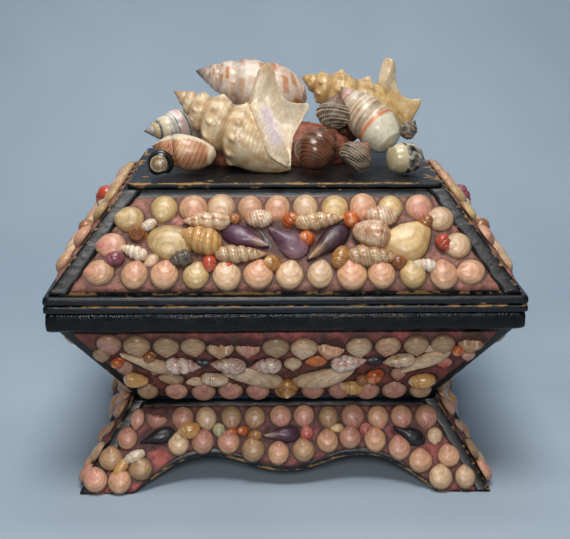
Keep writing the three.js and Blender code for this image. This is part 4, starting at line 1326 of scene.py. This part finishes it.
def lip_plate(shell, length):
    """The flared lip, as a closed plate in the shell's own axes: along, across and out."""
    edge = smooth_path(shell["edge"], 90)
    root = smooth_path(shell["root"], 90)
    share = np.linspace(0.0, 1.0, 18)[:, None, None]
    flat = root + (edge - root) * share
    share = share[..., 0]
    belly = shell["belly"] * length
    girth = (0.48 * shell["width"]
             * np.clip(1.0 - np.abs(flat[..., 1] - belly) / (length - belly), 0.0, 1.0) ** 0.6)
    over_body = np.sqrt(np.clip(girth**2 - flat[..., 0] ** 2, 0.0, None)) * (shell["cup"] > 0.0)
    cupped = -4.5 * shell["cup"] * np.sin(0.5 * TAU * share) + 3.2 * share**3 + 2.4 * (1.0 - share)
    towards_viewer = np.maximum(over_body * (1.0 - share) ** 0.5 + cupped, cupped)
    start, slant = shell["finger"]
    spine = np.exp(-(((flat[..., 1] - start * length - slant * flat[..., 0]) / 3.6) ** 2))
    spine = spine * soft_step(0.2, 0.9, flat[..., 0] / shell["edge"][5][0])
    half = 0.5 * (3.6 - 1.9 * share + 2.6 * spine) * np.sqrt(np.clip(1.08 - share**6, 0.0, 1.0))
    middle = -(towards_viewer + 1.6 * spine)
    near = np.stack([flat[..., 1], middle - half, flat[..., 0]], -1).reshape(-1, 3)
    far = np.stack([flat[..., 1], middle + half, flat[..., 0]], -1).reshape(-1, 3)
    rows, columns = flat.shape[:2]
    faces = []
    for row in range(rows - 1):
        first = row * columns
        for column in range(columns - 1):
            a, b = first + column, first + column + 1
            faces += [(a, b, b + columns, a + columns)]
    count = rows * columns
    faces += [tuple(count + i for i in reversed(face)) for face in faces]
    border = list(range(columns)) + [row * columns + columns - 1 for row in range(1, rows)]
    border += [(rows - 1) * columns + c for c in range(columns - 2, -1, -1)]
    border += [row * columns for row in range(rows - 2, 0, -1)]
    here, following = wrapped(len(border))
    faces += [(border[b], border[a], count + border[a], count + border[b]) for a, b in zip(here, following)]
    return np.vstack([near, far]), faces


def fused(piece):
    """Joins the overlapping skins of a piece into one, and smooths it."""
    bpy.context.view_layer.objects.active = piece
    remesh = piece.modifiers.new("fuse", "REMESH")
    remesh.mode = "VOXEL"
    remesh.voxel_size = VOXEL * MM
    smooth = piece.modifiers.new("smooth", "SMOOTH")
    smooth.factor = 0.5
    smooth.iterations = 3
    for modifier in (remesh.name, smooth.name):
        bpy.ops.object.modifier_apply(modifier=modifier)
    return piece


def paint_conch(shell, length, points, seed):
    """Cream with tan streaks, paler on the lip, and lilac-white in the mouth."""
    ground, mark, tip, mouth = (srgb(code) for code in shell["colours"])
    along = np.clip(points[:, 0] / length, 0.001, 1.0)
    out = np.hypot(points[:, 1], points[:, 2])
    angle = (np.arctan2(points[:, 2], points[:, 1]) - shell["face"]) % TAU
    root = np.array(shell["root"], float)
    past_root = points[:, 2] - np.interp(points[:, 0], root[:, 1], root[:, 0], left=0.55 * shell["width"])
    on_lip = soft_step(0.0, 1.6, past_root) * soft_step(0.2, 0.4, along)
    if shell["cup"] < 0.0:
        on_lip = soft_step(0.42, 0.62, points[:, 2] / shell["width"]) * soft_step(0.2, 0.4, along)
    ratio = shell["tip"] ** (-1.0 / shell["whorls"])
    turns = np.log(along / shell["spire"]) / math.log(ratio) - angle / TAU
    seam_line = np.exp(-((((turns + 0.5) % 1.0 - 0.5) / 0.1) ** 2)) * (turns < 0.05)
    streak = (flames({"angle": angle, "within": turns}, 13, 0.3, 0.3)
              * soft_step(-0.2, 0.6, wander(points, 12.0, seed)))
    spiral = 0.5 + 0.5 * np.sin(points[:, 0] * 1.9)
    tint = mixed(ground, mark, 0.12 + 0.3 * wander(points, 9.0, seed + 1))
    tint = mixed(tint, mark, 0.4 * streak * (1.0 - on_lip))
    tint = mixed(tint, mark, 0.06 * spiral * (1.0 - on_lip))
    # Darker brown along the seams between the whorls: painted shade in the grooves.
    tint = mixed(tint, mark * 0.7, 0.6 * seam_line * (1.0 - on_lip))
    tint = mixed(tint, tip, np.exp(-along / 0.06))
    tint = mixed(tint, srgb("#eee4cc"), 0.55 * on_lip)
    rim = soft_step(0.8, 1.15, points[:, 2] / shell["edge"][5][0]) * on_lip
    tint = mixed(tint, mark, 0.5 * rim)
    if shell["groove"]:
        first, last = np.array(shell["groove"], float)
        span = last - first
        place = points[:, [2, 0]] - first
        share = np.clip(place @ span / (span @ span), 0.0, 1.0)
        apart = np.linalg.norm(place - share[:, None] * span, axis=1)
        tint = mixed(tint, mouth, 0.95 * np.exp(-((apart / 3.4) ** 2)) * (points[:, 1] < 4.0))
    return tint * (1.0 + 0.05 * wander(np.column_stack([out, along * length]), 3.0, seed + 2))[:, None]


def conch(name, shell, seed):
    apex, length, axes = axes_of(shell)
    body, _ = snail({**shell, "length": length, "hollow": 0.1, "flare": 0.02, "width": 0.97 * shell["width"]},
                    200, 120)
    skin = Skin()
    skin.add(body, faces_of(barrel_faces, 200, 120))
    skin.add(*lip_plate(shell, length))
    piece = fused(skin.build(f"{name}_detailed", "large_shell"))
    mesh = piece.data
    points = np.empty(len(mesh.vertices) * 3)
    mesh.vertices.foreach_get("co", points)
    points = points.reshape(-1, 3) / MM
    for layer in ("tint", "growth", "wear"):
        if layer in mesh.attributes:
            mesh.attributes.remove(mesh.attributes[layer])
    write_attribute(mesh, "tint", paint_conch(shell, length, points, seed))
    write_attribute(mesh, "growth", points[:, 0] * 0.5)
    placed = (apex + points @ axes) * MM
    placed[:, 2] = np.clip(placed[:, 2], (HEAP_FLOOR + 0.1) * MM, None)
    mesh.vertices.foreach_set("co", placed.ravel())
    mesh.update()
    mesh.shade_smooth()
    return dress(piece, "pale_shell", name)


for index, (name, shell) in enumerate(CONCHES.items()):
    conch(name, shell, 400 + index)


def heap_putty():
    """The lump of putty that the heap is set in."""
    low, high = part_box("top_putty")
    low.y += 11.0 * MM  # the putty shows less than its solid at the front and the right
    high.x -= 18.0 * MM
    centre = (low + high) / 2.0 / MM
    half = (high - low) / 2.0 / MM
    rings, sides = 30, 90
    share = np.linspace(0.0, 1.0, rings + 1)[1:]
    angle = np.arange(sides) * TAU / sides
    x = centre.x + np.outer(share, np.cos(angle)) * half.x
    y = centre.y + np.outer(share, np.sin(angle)) * half.y
    rise = (1.0 - share**3.2) ** 0.6 * 2.0 * half.z * 0.94
    points = np.vstack([[centre.x, centre.y, HEAP_FLOOR + 1.88 * half.z], np.column_stack([
        x.ravel(), y.ravel(), HEAP_FLOOR + 0.2 + np.repeat(rise, sides)])])
    lumps = wander(points[:, :2], 8.0, 71) + 0.5 * wander(points[:, :2], 3.0, 72)
    points[:, 2] += 0.8 * lumps * (points[:, 2] > HEAP_FLOOR + 1.5)
    tint = mixed(srgb("#8d4d3a"), srgb("#c07a5e"), 0.5 + 0.5 * wander(points, 10.0, 73))
    skin = Skin()
    skin.add(points, faces_of(cap_faces, rings, sides), tint)
    return dress(skin.build("heap_putty", "putty"), "putty", "top_putty")


heap_putty()

# ---- Backdrop, light and camera ----


def backdrop():
    """A pale floor that curves up into a wall behind the casket."""
    reach, near, bend, wall = 1800.0, -1200.0, 170.0, 1300.0
    curve = [(near, 0.0), (bend, 0.0)]
    curve += [(bend + 300.0 * math.sin(step * TAU / 40), 300.0 - 300.0 * math.cos(step * TAU / 40))
              for step in range(1, 11)]
    curve.append((bend + 300.0, wall))
    points = [(side * reach, y, z) for y, z in curve for side in (-1, 1)]
    faces = [(2 * i, 2 * i + 1, 2 * i + 3, 2 * i + 2) for i in range(len(curve) - 1)]
    mesh = bpy.data.meshes.new("backdrop")
    mesh.from_pydata([tuple(part * MM for part in point) for point in points], [], faces)
    mesh.materials.append(backdrop_material())
    mesh.shade_smooth()
    stage = bpy.data.objects.new("backdrop", mesh)
    bpy.context.scene.collection.objects.link(stage)


def lamp(name, place, aim, size, power, colour):
    light = bpy.data.lights.new(name, "AREA")
    light.shape = "DISK"
    light.size = size
    light.energy = power
    light.color = colour
    holder = bpy.data.objects.new(name, light)
    holder.location = place
    holder.rotation_euler = (Vector(aim) - Vector(place)).to_track_quat("-Z", "Y").to_euler()
    bpy.context.scene.collection.objects.link(holder)


def set_world(colour, strength):
    world = bpy.data.worlds.new("studio")
    world.use_nodes = True
    background = world.node_tree.nodes["Background"]
    background.inputs["Color"].default_value = (*srgb(colour), 1.0)
    background.inputs["Strength"].default_value = strength
    bpy.context.scene.world = world


backdrop()
MIDDLE = (0.0, 0.0, 0.12)
lamp("overhead", (-0.05, -0.42, 1.15), MIDDLE, 0.5, 9.5, (1.0, 0.98, 0.95))
lamp("flash", (-0.02, -0.75, 0.42), MIDDLE, 0.2, 2.4, (1.0, 0.98, 0.96))
lamp("wall_wash", (0.0, 0.15, 1.2), (0.0, 1.0, 0.6), 0.5, 4.0, (0.97, 0.99, 1.0))
set_world("#aebccb", 0.07)

camera_data = bpy.data.cameras.new("camera")
camera_data.sensor_width = 36.0
camera_data.lens = 69.4
camera_data.clip_start = 0.01
camera = bpy.data.objects.new("camera", camera_data)
camera.location = (-0.0086, -0.630, 0.2894)
camera.rotation_euler = (math.radians(90.0 - 16.37), 0.0, math.radians(-0.86))
bpy.context.scene.collection.objects.link(camera)
bpy.context.scene.camera = camera
bpy.context.scene.view_settings.view_transform = "Standard"
